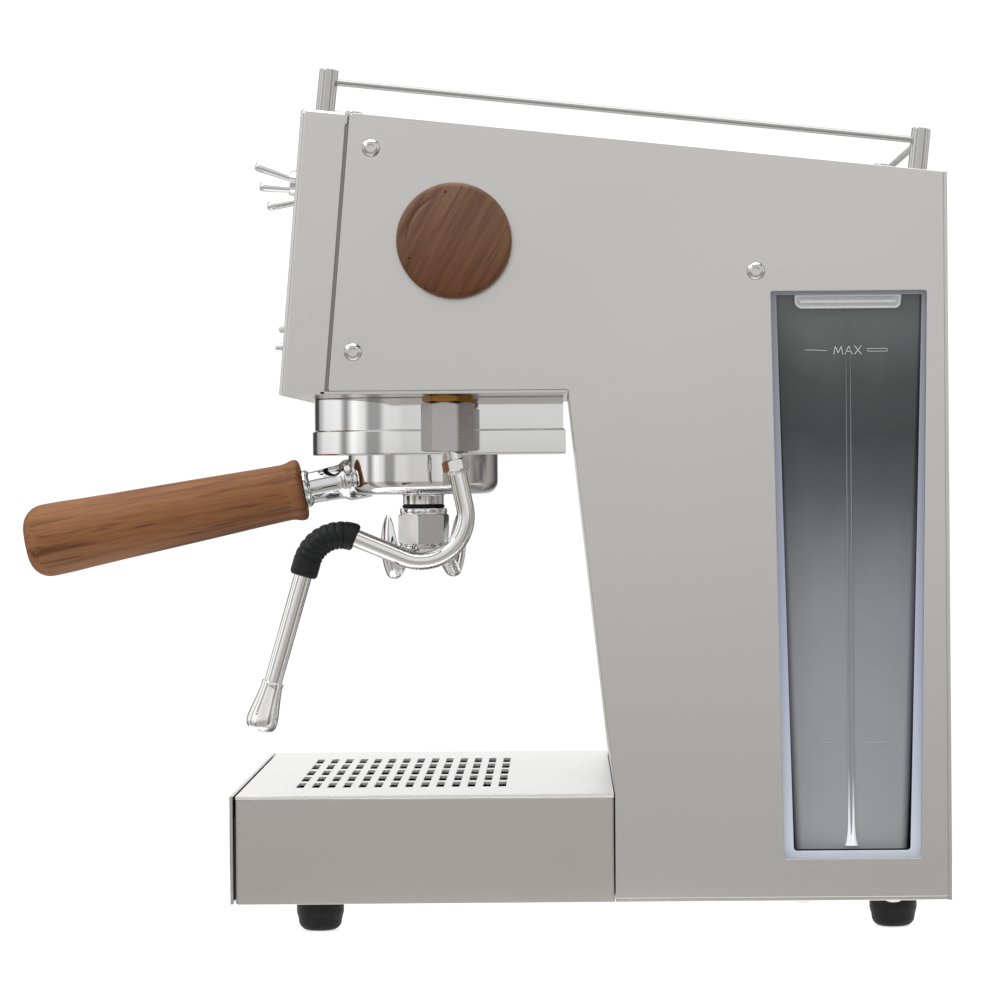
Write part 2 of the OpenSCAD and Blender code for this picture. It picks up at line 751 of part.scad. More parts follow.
module wand_gland() {
  color(brass) place() translate([wand_x, wand_y, 0]) difference() {
    union() {
      translate([0, 0, head_z - gland_h]) rotate([0, 0, nut_turn]) hexagon(wand_nut_af - 1, gland_h);
      translate([0, 0, head_z - eps]) cylinder(d = 9.8, h = sheet + 6);
      translate([0, 0, head_z - 6.3]) cylinder(r = seat_r, h = 3);
    }
    translate([0, 0, head_z - 20]) cylinder(d = 5, h = 60);
  }
}
module wand_nut() {
  lip = ball_z - nut_drop;
  h = head_z - gland_h - lip;
  color(steel) place() translate([wand_x, wand_y, 0]) difference() {
    translate([0, 0, lip]) rotate([0, 0, nut_turn]) intersection() {
      hexagon(wand_nut_af, h);
      cylinder(d1 = wand_nut_af * 1.1, d2 = wand_nut_af * 1.5, h = h);
    }
    translate([0, 0, lip + 1.8]) cylinder(r = seat_r + ball_play, h = 40);
    translate([0, 0, lip - 1]) cylinder(r = 7.8, h = 10);
  }
}
// Plastic seat that turns in the nut and lets the ball tilt in it
module wand_seat() {
  color("#e8e6df") place() translate([wand_x, wand_y, 0]) difference() {
    translate([0, 0, ball_z - 7.1]) cylinder(r = seat_r, h = head_z - 6.6 - ball_z + 7.1);
    translate([0, 0, ball_z]) sphere(d = ball_dia + 2 * ball_play);
    translate([0, 0, ball_z - 20]) cylinder(r = 7.9, h = 20);
    translate([0, 0, ball_z]) cylinder(d = 7, h = 20);
  }
}
module wand_tube() {
  bore = wand_dia / 2 - 1.2;
  color("#c9c8c6") place() difference() {
    on_wand() union() {
      bar(wand_steps, wand_dia / 2);
      sphere(d = ball_dia);
    }
    on_wand() bar(wand_steps, bore);
    on_wand() past_bends() translate([0, 0, wand_l - 1]) cylinder(r = bore, h = 2);
    translate([wand_x, wand_y, ball_z]) cylinder(r = bore, h = ball_dia);
  }
}
// Rubber sleeve round the wand's lower bend
module wand_grip() {
  color(black) place() on_wand() after_bend(wand_steps[0])
    translate([0, 0, wand_steps[1][0] - grip_steps[0][0]]) difference() {
      bar(grip_steps, 6.2);
      translate([0, 0, -0.2]) bar([[0.8, 16, lower_bend], [8, 0, 0]], wand_dia / 2 + 0.05);
    }
}
module wand_tip() {
  color("#c9c8c6") place() on_wand() past_bends() translate([0, 0, wand_l]) difference() {
    rotate_extrude() polygon([[0, 0], [4.6, 0], [4.8, 3], [6.6, 15], [7, 18], [6.6, 20.6],
      [5.2, 22.2], [0, 22.6]]);
    translate([0, 0, -1]) cylinder(r = wand_dia / 2 - 1.2, h = 19);
    for (k = [0 : 3]) rotate([0, 0, 90 * k]) rotate([0, 25, 0]) translate([0, 0, 10])
      cylinder(d = 1.2, h = 20);
  }
}

// ---- Steam valve and knob ----

module steam_valve() {
  color(brass) place() difference() {
    union() {
      translate([wand_x - 14, knob_y, knob_z]) rotate([0, 90, 0]) hexagon(22, 26);
      translate([wand_x + 12, knob_y, knob_z]) rotate([0, 90, 0]) cylinder(d = 16, h = 10);
      translate([wand_x, wand_y, knob_z - 26]) cylinder(d = 10, h = 20);
    }
    translate([wand_x - 8, knob_y, knob_z]) rotate([0, 90, 0])
      cylinder(r = spindle_dia / 2 + 0.05, h = 40);
    translate([wand_x, wand_y, knob_z - 27]) cylinder(d = 6, h = 8);
  }
}
module steam_pipe() {
  color("#b87b4a") place() translate([wand_x, wand_y, head_floor_top + 6.01])
    ring(3, 2, knob_z - 20 - head_floor_top - 6);
}
module knob_spindle() {
  color(brass) place() translate([wand_x - 6, knob_y, knob_z]) rotate([0, 90, 0])
    cylinder(d = spindle_dia, h = body_w / 2 + knob_gap + 7 - wand_x + 6);
}
// Turned wooden knob with a shallow dish round its rim
module steam_knob() {
  r = knob_dia / 2;
  color(walnut) place() translate([body_w / 2 + knob_gap, knob_y, knob_z]) rotate([0, 90, 0])
    difference() {
      rotate_extrude() polygon([[0, 0], [r - 0.8, 0], [r, 0.8], [r, knob_t - 2.2],
        [r - 0.7, knob_t - 0.7], [r - 2.2, knob_t], [0, knob_t]]);
      translate([0, 0, -1]) cylinder(d = spindle_dia, h = 8);
    }
}

// ---- Front controls ----

toggle_x = [-1, 0, 1] * toggle_pitch;
bush_d = 12;

// Threaded bushing and nut of each toggle, open to let the lever swing
module toggle_bushings() {
  color(chrome) place() for (x = toggle_x) on_front(x, toggle_z) difference() {
    union() {
      translate([0, 0, -sheet - 1]) cylinder(d = bush_d, h = sheet + 11);
      hexagon(14, 3);
      translate([0, 0, 3]) cylinder(d = 13.4, h = 1.2);
    }
    translate([0, 0, -5]) cylinder(r = 3.05, h = 9);
    translate([0, 0, 1.5]) cylinder(r1 = 3.05, r2 = 5.2, h = 8.6);
    translate([0, 0, -sheet - 3]) cylinder(r = 3.05, h = 6);
  }
}
module toggle_switches() {
  color("#2c4a7a") place() for (x = toggle_x) on_front(x, toggle_z) difference() {
    translate([0, 0, -sheet - 1]) union() {
      translate([-6.5, -7, -18]) cube([13, 14, 18]);
      for (k = [-1, 0, 1]) translate([-1, k * 4.5 - 0.4, -24]) cube([2, 0.8, 6.1]);
    }
    sphere(r = 3.4);
  }
}
// Bat lever on its ball, turned by a from the panel's normal
module toggle_lever(x, a) {
  color(chrome) place() on_front(x, toggle_z) rotate([-a, 0, 0]) union() {
    sphere(r = 3);
    rotate_extrude() polygon([[0, 0], [1.5, 0], [1.5, 9], [2.3, lever_l - 2.3],
      [2.2, lever_l - 1.2], [1.2, lever_l], [0, lever_l]]);
  }
}
module toggle_lever_right() { toggle_lever(toggle_pitch, toggle_throw); }
module toggle_lever_middle() { toggle_lever(0, 0); }
module toggle_lever_left() { toggle_lever(-toggle_pitch, -toggle_throw); }

module button_housing() {
  color(chrome) place() on_front(button_x, button_z) difference() {
    union() {
      cylinder(d = 8.4, h = 1);
      translate([0, 0, -12]) cylinder(d = 7, h = 12.5);
    }
    translate([0, 0, -9]) cylinder(r = 2.05, h = 20);
  }
}
module push_button() {
  color("#b9b8b6") place() on_front(button_x, button_z, -5) cylinder(r = 2, h = 9.6);
}
module status_lamp() {
  color("#e6e2d8") place() on_front(button_x, button_z + 8) {
    translate([0, 0, -6]) cylinder(d = 3, h = 8.5);
    translate([0, 0, 2.5]) sphere(d = 3);
  }
}

// ---- Pressure gauge ----

module gauge_case() {
  r = gauge_dia / 2;
  color(black) place() on_front(0, gauge_z) difference() {
    union() {
      translate([0, 0, -12]) cylinder(r = r - 2, h = 12.5);
      cylinder(r = r, h = 0.8);
    }
    translate([0, 0, -8]) cylinder(r = r - 4, h = 20);
    translate([0, 0, -2.2]) cylinder(r = r - 3, h = 8);
    translate([0, 0, -10]) cylinder(r = 1.05, h = 8);
  }
}
module gauge_needle() {
  color("#b02a20") place() on_front(0, gauge_z, -5.5) rotate([0, 0, 225]) union() {
    cylinder(r = 2.6, h = 1.4);
    translate([0, 0, -3.4]) cylinder(r = 1, h = 4);
    linear_extrude(0.6) polygon([[-5, -1.2], [-5, 1.2], [gauge_dia / 2 - 9, 0.3],
      [gauge_dia / 2 - 9, -0.3]]);
  }
}
module gauge_glass() {
  color([0.9, 0.95, 1, 0.35]) place() on_front(0, gauge_z, -2.2)
    cylinder(r = gauge_dia / 2 - 3, h = 2);
}

// ---- Water system ----

// The tank's outside, its walls drawn in by w; it narrows towards its foot
module tank_block(w, z_lift = 0) {
  narrow = 12;
  intersection() {
    side_plate(tank_x0 + w, tank_w - 2 * w, [
      [tank_y0 + narrow + w, tank_z0 + z_lift], [tank_y1 - narrow - w, tank_z0 + z_lift],
      [tank_y1 - w, tank_z1 + z_lift], [tank_y0 + w, tank_z1 + z_lift]
    ]);
    translate([0, tank_y1, 0]) rotate([90, 0, 0]) linear_extrude(tank_y1 - tank_y0) polygon([
      [tank_x0 + narrow + w, tank_z0 + z_lift], [tank_x1 - 1.5 - w, tank_z0 + z_lift],
      [tank_x1 - w, tank_z1 + z_lift], [tank_x0 + w, tank_z1 + z_lift]
    ]);
  }
}
module water_tank() {
  color([0.45, 0.47, 0.48, 0.6]) place() difference() {
    tank_block(0);
    tank_block(tank_wall, tank_wall);
    translate([valve_x, window_y, tank_z0 - 1]) cylinder(d = 12, h = 10);
  }
}
// White pull bar snapped to the tank's window side
module tank_grip() {
  z = window_z + window_h - 4.6;
  color("#eceef0") place() intersection() {
    translate([tank_x1 - 1, window_y - 20.5, z]) rotate([0, 90, 0]) union() {
      translate([-3, 0, 0]) cube([6, 41, 2.4]);
      for (y = [0, 41]) translate([0, y, 0]) cylinder(d = 6, h = 2.4);
    }
    translate([tank_x1, 0, 0]) cube([5, 400, 400]);
  }
}
// Bracket and valve under the tank
module tank_cradle() {
  x0 = tank_x0 + 4;
  x1 = tank_x1 - 4;
  color("#4a4d50") place() difference() {
    union() {
      block([x0, tank_y0 + 12, tank_z0 - 3], [x1, tank_y1 - 12, tank_z0]);
      for (x = [x0, x1 - 3]) block([x, tank_y0 + 12, base_top], [x + 3, tank_y1 - 12, tank_z0]);
      translate([valve_x, window_y, tank_z0 - 11]) cylinder(d = 18, h = 11);
      translate([valve_x, window_y, tank_z0 - 1]) cylinder(d = 11.8, h = 7);
      translate([x0 - 8, window_y, hose_z]) rotate([0, 90, 0])
        cylinder(d = 5, h = valve_x - x0 + 8);
    }
    translate([valve_x, window_y, tank_z0 - 6]) cylinder(d = 5, h = 20);
  }
}
// Hinged filling lid, flush in the top, with a finger edge in front
module tank_lid() {
  t = sheet_slant;
  color(steel) place() {
    side_plate(lid_x0, lid_x1 - lid_x0, [
      [lid_y0, top_at(lid_y0) - t], [lid_y0, top_at(lid_y0)],
      [lid_y1, top_at(lid_y1)], [lid_y1, top_at(lid_y1) - t]
    ]);
    side_plate(lid_x0 + 6, lid_x1 - lid_x0 - 12, [
      [lid_y0 + 3, top_at(lid_y0) - t - 4], [lid_y0 + 3, top_at(lid_y0) - t],
      [lid_y0 + 4.5, top_at(lid_y0) - t], [lid_y0 + 4.5, top_at(lid_y0) - t - 4]
    ]);
  }
}
// Vibratory pump lying on two saddles
module pump() {
  color("#c9c4ba") place() translate([0, pump_y, pump_z]) rotate([-90, 0, 0]) union() {
    cylinder(d = 22, h = 20);
    translate([0, 0, 20]) cylinder(d = 36, h = 40);
    translate([0, 0, 60]) cylinder(d = 20, h = 12);
    for (y = [24, 53]) translate([-14, 10, y]) cube([28, pump_z - base_top - 10, 3]);
  }
}
// Suction hose from the tank's valve and feed hose up to the boiler
module water_hoses() {
  x1 = tank_x0 - 4;
  z = hose_z;
  feed_z = head_z + 28;
  color("#dfe3e2") place() {
    translate([hose_r, window_y, z]) rotate([0, 90, 0]) cylinder(r = hose_r, h = x1 - hose_r);
    translate([0, window_y, z - hose_r]) cylinder(r = hose_r, h = pump_z - z + 2 * hose_r);
    translate([0, pump_y + 72, pump_z]) rotate([-90, 0, 0])
      cylinder(r = hose_r, h = window_y - pump_y - 72 - hose_r);
    translate([0, pump_y, pump_z]) rotate([90, 0, 0])
      bar([[2, 9, 90], [feed_z - pump_z - 23, 14, 90], [pump_y - 25 - group_y - boiler_r, 0, 0]],
        hose_r);
  }
}
// Boiler bolted on the group, with its lid's nuts and the heater's terminals
module boiler() {
  top = gauge_z + 22;
  color("#c2a15a") place() translate([0, group_y, 0]) union() {
    translate([0, 0, head_z]) cylinder(r = 29.5, h = sheet);
    translate([0, 0, head_floor_top]) cylinder(r = boiler_r, h = top - head_floor_top);
    translate([0, 0, head_floor_top]) cylinder(r = 40, h = 6);
    translate([0, 0, top]) cylinder(r = 39, h = 5);
    for (a = [0 : 60 : 359]) rotate([0, 0, a]) translate([33, 0, top + 5]) hexagon(7, 3);
    for (x = [-10, 10]) translate([x, 0, top + 5]) cylinder(d = 7, h = 9);
  }
}
module control_board() {
  color("#2d5a3c") place() {
    translate([-inner_x, back_y - 128, 0]) {
      block([12, 0, 250], [13.6, 90, 315]);
      for (k = [0, 1, 2]) block([13.6, 8 + 26 * k, 262], [29, 26 + 26 * k, 276]);
      block([13.6, 20, 285], [36, 60, 305]);
      for (y = [4, 86], z = [254, 311]) translate([0, y, z]) rotate([0, 90, 0])
        cylinder(d = 5, h = 12);
    }
  }
}

inlet_x = -body_w / 2 + 45;
inlet_z = 62;
// Mains inlet with its recess and three contact pins
module mains_inlet() {
  color(black) place() translate([inlet_x, back_y, inlet_z]) union() {
    difference() {
      union() {
        translate([-inlet_w / 2, 0, -12]) cube([inlet_w, inlet_out, 24]);
        translate([-13.9, -22, -9.9]) cube([27.8, 22 + eps, 19.8]);
      }
      translate([-12, -18, -8]) cube([24, 30, 16]);
    }
    for (x = [-7, 0, 7]) translate([x - 1, -18.1, x == 0 ? 0 : -4]) cube([2, 14, 4]);
  }
}

side_panel_right();
side_panel_left();
front_panel();
top_cover();
head_floor();
inner_frame();
spine_wall();
back_panel();
base_plate();
tray_housing();
feet();
panel_screws();
base_screws();
rail_posts();
rail_rods();
drip_grille();
drip_drawer();
drawer_ends();
drawer_front();
group_cover();
group_head();
group_gasket();
shower_screen();
shower_screw();
portafilter_body();
filter_basket();
portafilter_neck();
portafilter_handle();
spout_seal();
double_spout();
wand_gland();
wand_nut();
wand_seat();
wand_tube();
wand_grip();
wand_tip();
steam_valve();
steam_pipe();
knob_spindle();
steam_knob();
toggle_bushings();
toggle_switches();
toggle_lever_right();
toggle_lever_middle();
toggle_lever_left();
push_button();
button_housing();
status_lamp();
gauge_case();
gauge_needle();
gauge_glass();
water_tank();
tank_grip();
tank_cradle();
tank_lid();
pump();
water_hoses();
boiler();
control_board();
mains_inlet();
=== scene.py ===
"""Espresso machine: the looks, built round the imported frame. Metres; +X right, -Y front, +Z up."""
import math

import bmesh
import bpy
from mathutils import Matrix, Vector


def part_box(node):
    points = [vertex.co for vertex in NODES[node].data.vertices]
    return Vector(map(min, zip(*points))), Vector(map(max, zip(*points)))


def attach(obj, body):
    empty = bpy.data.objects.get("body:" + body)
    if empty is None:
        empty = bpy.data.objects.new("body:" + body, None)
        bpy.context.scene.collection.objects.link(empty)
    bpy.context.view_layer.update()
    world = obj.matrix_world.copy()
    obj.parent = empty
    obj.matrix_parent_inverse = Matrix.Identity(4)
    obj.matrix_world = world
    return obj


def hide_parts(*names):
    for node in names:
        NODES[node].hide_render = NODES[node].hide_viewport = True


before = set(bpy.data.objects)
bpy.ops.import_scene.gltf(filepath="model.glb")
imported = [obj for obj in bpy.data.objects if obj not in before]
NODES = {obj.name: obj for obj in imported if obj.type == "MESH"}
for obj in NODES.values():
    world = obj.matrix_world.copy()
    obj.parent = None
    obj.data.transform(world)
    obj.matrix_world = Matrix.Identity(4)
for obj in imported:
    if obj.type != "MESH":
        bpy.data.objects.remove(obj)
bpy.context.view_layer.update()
MM = 0.001
TAU = 2 * math.pi

# ---------------------------------------------------------------- places, from the frame
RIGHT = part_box("side_panel_right")[1].x
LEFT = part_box("side_panel_left")[0].x
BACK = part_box("back_panel")[1].y
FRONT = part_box("drawer_front")[0].y
X0 = (RIGHT + LEFT) / 2
Y0 = (BACK + FRONT) / 2
HALF_W = (RIGHT - LEFT) / 2 / MM
HALF_D = (BACK - FRONT) / 2 / MM
HEAD_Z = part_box("head_floor")[0].z / MM
BASE_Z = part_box("base_plate")[0].z / MM
TRAY_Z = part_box("drip_grille")[1].z / MM
BODY_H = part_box("front_panel")[1].z / MM
SHEET = 1.5
FRONT_LEAN = math.radians(4.85)
TOP_SLOPE = math.radians(6.1)
HEAD_Y = (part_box("front_panel")[0].y - Y0) / MM
FLANGE_D = 19.8
PANEL_GAP = 1.6


def at(x, y, z):
    """A point given in millimetres from the machine's middle on the counter."""
    return Vector((X0 + x * MM, Y0 + y * MM, z * MM))


def front_at(z):
    return HEAD_Y + (z - HEAD_Z) * math.tan(FRONT_LEAN)


def top_at(y):
    return BODY_H - (y - front_at(BODY_H)) * math.tan(TOP_SLOPE)


def top_corner(back):
    """Where a line parallel to the front face, set back by that much, meets the top."""
    s = math.tan(FRONT_LEAN) * math.tan(TOP_SLOPE)
    z = (BODY_H - back * math.tan(TOP_SLOPE) + s * BODY_H) / (1 + s)
    return front_at(z) + back, z


def place(x, y, z, out=(0, 0, 1), right=(1, 0, 0)):
    """Matrix from a piece's own millimetres to the row frame, its Z along out."""
    w = Vector(out).normalized()
    u = (Vector(right) - Vector(right).dot(w) * w).normalized()
    turn = Matrix((u, w.cross(u), w)).transposed().to_4x4()
    return Matrix.Translation(at(x, y, z)) @ turn @ Matrix.Scale(MM, 4)


def spin(degrees, axis):
    return Matrix.Rotation(math.radians(degrees), 4, axis)


def up(z):
    return Matrix.Translation((0, 0, z))


# ---------------------------------------------------------------- shapes
def polar(r, degrees):
    return r * math.cos(math.radians(degrees)), r * math.sin(math.radians(degrees))


def arc(cx, cz, r, a0, a1, n=8):
    """Points of an arc from angle a0 to a1."""
    turns = (polar(r, a0 + (a1 - a0) * k / n) for k in range(n + 1))
    return [(cx + x, cz + z) for x, z in turns]


def rounded(points, steps=6):
    """Closed outline through (x, y, radius) corners, each with its own round."""
    out, n = [], len(points)
    for i, p in enumerate(points):
        b = Vector(p[:2])
        r = p[2] if len(p) > 2 else 0
        if r <= 0:
            out.append(b)
            continue
        u, v = Vector(points[i - 1][:2]) - b, Vector(points[(i + 1) % n][:2]) - b
        half = u.angle(v) / 2
        t = min(r / math.tan(half), 0.49 * u.length, 0.49 * v.length)
        u.normalize()
        v.normalize()
        r = t * math.tan(half)
        mid = b + (u + v).normalized() * (r / math.sin(half))
        s, e = b + u * t - mid, b + v * t - mid
        a0 = math.atan2(s.y, s.x)
        turn = (math.atan2(e.y, e.x) - a0 + math.pi) % TAU - math.pi
        for k in range(steps + 1):
            th = a0 + turn * k / steps
            out.append(mid + r * Vector((math.cos(th), math.sin(th))))
    return out


def finish_mesh(bm, matrix, angle=30.0):
    """Closes up a piece's own mesh, smooth but for sharp edges and faces square to its Z."""
    bmesh.ops.remove_doubles(bm, verts=bm.verts, dist=1e-4)
    bmesh.ops.recalc_face_normals(bm, faces=bm.faces)
    me = bpy.data.meshes.new("mesh")
    bm.to_mesh(me)
    bm.free()
    me.set_sharp_from_angle(angle=math.radians(angle))
    for p in me.polygons:
        p.use_smooth = abs(p.normal.z) < 0.9999
    me.transform(matrix)
    return me


def ring(bm, n, r, z):
    """n points round Z, or a single one on it. r and z may be functions of the angle."""
    if not callable(r) and r < 1e-6:
        return [bm.verts.new((0, 0, z))]
    out = []
    for k in range(n):
        th = TAU * k / n
        q = r(th) if callable(r) else r
        out.append(bm.verts.new((q * math.cos(th), q * math.sin(th), z(th) if callable(z) else z)))
    return out


def skin(bm, rings):
    """Faces between each closed ring and the next, down to rings of one point."""
    for a, b in zip(rings, rings[1:]):
        n = max(len(a), len(b))
        for k in range(n):
            j = (k + 1) % n
            corners = (a[k % len(a)], a[j % len(a)], b[j % len(b)], b[k % len(b)])
            corners = list(dict.fromkeys(corners))
            if len(corners) > 2:
                bm.faces.new(corners)


def lathe(profile, matrix, segs=96, angle=30.0):
    """Turns (r, h) points round Z."""
    bm = bmesh.new()
    skin(bm, [ring(bm, segs, r, h) for r, h in profile])
    return finish_mesh(bm, matrix, angle)


def loft(levels, matrix, caps=(True, True), angle=30.0):
    """Skins closed rings of 3-D points, all with the same count."""
    bm = bmesh.new()
    rings = [[bm.verts.new(p) for p in level] for level in levels]
    skin(bm, rings)
    for cap, end in zip(caps, (rings[0], rings[-1])):
        if cap:
            bm.faces.new(end)
    return finish_mesh(bm, matrix, angle)


def plate(outline, holes, t, matrix, edge=0.3, angle=30.0):
    """A flat sheet of thickness t over an outline with holes, its edges eased."""
    cu = bpy.data.curves.new("plate", "CURVE")
    cu.dimensions, cu.fill_mode = "2D", "BOTH"
    for line in [outline] + list(holes):
        sp = cu.splines.new("POLY")
        sp.points.add(len(line) - 1)
        for q, p in zip(sp.points, line):
            q.co = (p[0], p[1], 0, 1)
        sp.use_cyclic_u = True
    cu.extrude = t / 2 - edge
    cu.bevel_depth, cu.bevel_resolution, cu.offset = edge, 2, -edge
    bm = bmesh.new()
    me = baked(bpy.data.objects.new("plate", cu))
    bm.from_mesh(me)
    bpy.data.meshes.remove(me)
    bmesh.ops.translate(bm, verts=bm.verts, vec=(0, 0, t / 2))
    return finish_mesh(bm, matrix, angle)


def baked(ob):
    """The mesh of a scratch object with its modifiers applied. The object goes."""
    bpy.context.scene.collection.objects.link(ob)
    me = bpy.data.meshes.new_from_object(ob.evaluated_get(bpy.context.evaluated_depsgraph_get()))
    bpy.data.objects.remove(ob)
    return me


def sweep(points, radius, matrix, segs=32, angle=40.0):
    """A round bar along 3-D points; radius is a number or a function of (index, share)."""
    pts = [Vector(p) for p in points]
    bm = bmesh.new()
    side = (pts[1] - pts[0]).normalized().orthogonal().normalized()
    rings, n = [], len(pts)
    for i, p in enumerate(pts):
        d = (pts[min(i + 1, n - 1)] - pts[max(i - 1, 0)]).normalized()
        side = (side - side.dot(d) * d).normalized()
        over = d.cross(side)
        r = radius(i, i / (n - 1)) if callable(radius) else radius
        turns = (polar(r, 360 * k / segs) for k in range(segs))
        rings.append([bm.verts.new(p + a * side + b * over) for a, b in turns])
    skin(bm, rings)
    bm.faces.new(rings[0])
    bm.faces.new(rings[-1])
    return finish_mesh(bm, matrix, angle)


def bent_path(steps, step=1.0, arc_steps=24):
    """Points of a path in its own YZ plane from (length, bend radius, bend angle) steps."""
    p, a = Vector((0, 0)), 0.0
    out = [p.copy()]
    for length, r, bend in steps:
        d = Vector((math.sin(a), math.cos(a)))
        n = max(1, int(length / step))
        out += [p + d * length * k / n for k in range(1, n + 1)]
        p = p + d * length
        if bend:
            r = math.copysign(r, bend)
            c = p + r * Vector((math.cos(a), -math.sin(a)))
            for k in range(1, arc_steps + 1):
                th = a + math.radians(bend) * k / arc_steps
                out.append(c - r * Vector((math.cos(th), -math.sin(th))))
            a += math.radians(bend)
            p = out[-1].copy()
    return [Vector((0, q.x, q.y)) for q in out]


def join(*meshes):
    bm = bmesh.new()
    for me in meshes:
        bm.from_mesh(me)
        bpy.data.meshes.remove(me)
    me = bpy.data.meshes.new("mesh")
    bm.to_mesh(me)
    bm.free()
    return me


def hex_radius(af, th, turn):
    """How far a hexagon's edge is at an angle, with a flat at the angle turn."""
    return af / 2 / math.cos((th - math.radians(turn) - math.pi / 6) % (math.pi / 3) - math.pi / 6)


def hex_bar(af, h, matrix, turn=0.0, chamfer=0.8, bore=0.0, angle=25.0):
    """A hexagonal nut: flats with the corners turned off at both ends."""
    bm = bmesh.new()
    n, low, top = 72, af / 2 * 0.985, af / 2 / math.cos(math.pi / 6)
    edge = [(k * chamfer / 6, low + (top - low) * k / 6) for k in range(7)]
    edge += [(h - z, lim) for z, lim in reversed(edge)]
    rings = [ring(bm, n, lambda th, lim=lim: min(lim, hex_radius(af, th, turn)), z) for z, lim in edge]
    skin(bm, rings)
    for end, z in ((rings[0], 0), (rings[-1], h)):
        if bore:
            skin(bm, [end, ring(bm, n, bore, z)])
        else:
            bm.faces.new(end)
    return finish_mesh(bm, matrix, angle)


def button_head(d, h, af, matrix, shank=0.0):
    """Button-head screw with a hexagon socket."""
    bm = bmesh.new()
    n, r = 48, d / 2
    under = [(0.5, -shank), (0.5, 0)] if shank else [(0.9, -0.01)]
    dome = [(0.96, 0), (1, 0.07), (1, 0.22), (0.97, 0.42), (0.88, 0.66), (0.72, 0.87), (0.55, 0.98),
            (0.47, 1)]
    rings = [ring(bm, n, r * q, z) for q, z in under]
    rings += [ring(bm, n, r * q, h * z) for q, z in dome]
    rings += [ring(bm, n, lambda th: hex_radius(af, th, -30), h * z) for z in (0.94, 0.4)]
    skin(bm, rings)
    bm.faces.new(rings[-1])
    bm.faces.new(rings[0])
    return finish_mesh(bm, matrix, 38)


def dimpled_disc(height, matrix, radii, segs=288):
    """A face whose height comes from a function of (radius, degrees), out to its rim."""
    bm = bmesh.new()
    rows = [ring(bm, segs, q, lambda th, q=q: height(q, math.degrees(th))) for q in radii]
    skin(bm, [[bm.verts.new((0, 0, height(0, 0)))]] + rows)
    return finish_mesh(bm, matrix, 50)


def smoothstep(a, b, x):
    t = min(1.0, max(0.0, (x - a) / (b - a)))
    return t * t * (3 - 2 * t)


def strokes(lines, matrix, z=0.0, lift=0.12):
    """Raised bars along (start, end, width) lines."""
    bm = bmesh.new()
    for a, b, width in lines:
        a, b = Vector(a), Vector(b)
        d = (b - a).normalized() * width / 2
        n = Vector((-d.y, d.x))
        corners = [a - d - n, b + d - n, b + d + n, a - d + n]
        low, high = ([bm.verts.new((p.x, p.y, q)) for p in corners] for q in (z, z + lift))
        skin(bm, [low, high])
        bm.faces.new(high)
    return finish_mesh(bm, matrix, 30)


# ---------------------------------------------------------------- materials
def wire(tree, kind, inputs, **props):
    """A new node with its properties set, and each input linked or given its value."""
    node = tree.nodes.new(kind)
    for k, v in props.items():
        setattr(node, k, v)
    for k, v in inputs.items():
        if isinstance(v, bpy.types.NodeSocket):
            tree.links.new(v, node.inputs[k])
        else:
            node.inputs[k].default_value = v
    return node


def colour_ramp(tree, fac, stops, interpolation="LINEAR"):
    """Stops are (place, grey) or (place, colour)."""
    node = wire(tree, "ShaderNodeValToRGB", {"Fac": fac})
    node.color_ramp.interpolation = interpolation
    e = node.color_ramp.elements
    while len(e) < len(stops):
        e.new(0.5)
    for el, (pos, col) in zip(e, stops):
        el.position = pos
        el.color = (*col, 1) if isinstance(col, tuple) else (col, col, col, 1)
    return node.outputs["Color"]


def colour_mix(tree, fac, a, b, blend="MIX"):
    """Mix node for colours: its sockets go by number, as each name is on it several times."""
    a, b = ((*c, 1) if isinstance(c, tuple) else c for c in (a, b))
    node = wire(tree, "ShaderNodeMix", {0: fac, 6: a, 7: b}, data_type="RGBA", blend_type=blend)
    return node.outputs[2]


def shade(colour, factor, lift=0.0):
    return tuple(c * factor + lift for c in colour)


class Nodes:
    """Short hand for building one material's node tree."""

    def __init__(self, name, colour, rough, metal=0.0, **sockets):
        self.mat = bpy.data.materials.new(name)
        self.mat.use_nodes = True
        self.tree = self.mat.node_tree
        self.bsdf = self.tree.nodes["Principled BSDF"]
        self.bsdf.inputs["Base Color"].default_value = (*colour, 1)
        self.bsdf.inputs["Roughness"].default_value = rough
        self.bsdf.inputs["Metallic"].default_value = metal
        for k, v in sockets.items():
            self.bsdf.inputs[k.replace("_", " ")].default_value = v
        self.coords = wire(self.tree, "ShaderNodeTexCoord", {}).outputs["Object"]

    def mapping(self, scale=(1, 1, 1), rotation=(0, 0, 0), source=None):
        inputs = {"Vector": source or self.coords, "Scale": scale, "Rotation": rotation}
        return wire(self.tree, "ShaderNodeMapping", inputs).outputs["Vector"]

    def height(self):
        return wire(self.tree, "ShaderNodeSeparateXYZ", {"Vector": self.coords}).outputs["Z"]

    def noise(self, vector, scale, detail=2.0, rough=0.5, distortion=0.0):
        inputs = {"Vector": vector, "Scale": scale, "Detail": detail, "Roughness": rough,
                  "Distortion": distortion}
        return wire(self.tree, "ShaderNodeTexNoise", inputs).outputs["Fac"]

    def remap(self, value, lo, hi, to_lo, to_hi):
        inputs = {"Value": value, "From Min": lo, "From Max": hi, "To Min": to_lo, "To Max": to_hi}
        return wire(self.tree, "ShaderNodeMapRange", inputs).outputs["Result"]

    def ramp(self, fac, *stops):
        return colour_ramp(self.tree, fac, stops)

    def mix(self, fac, a, b, blend="MIX"):
        return colour_mix(self.tree, fac, a, b, blend)

    def sum(self, a, b):
        return wire(self.tree, "ShaderNodeMath", {0: a, 1: b}, operation="ADD").outputs[0]

    def feed(self, socket, source):
        self.tree.links.new(source, self.bsdf.inputs[socket])

    def bump(self, height, strength, distance=0.0002):
        inputs = {"Height": height, "Strength": strength, "Distance": distance}
        self.feed("Normal", wire(self.tree, "ShaderNodeBump", inputs).outputs["Normal"])


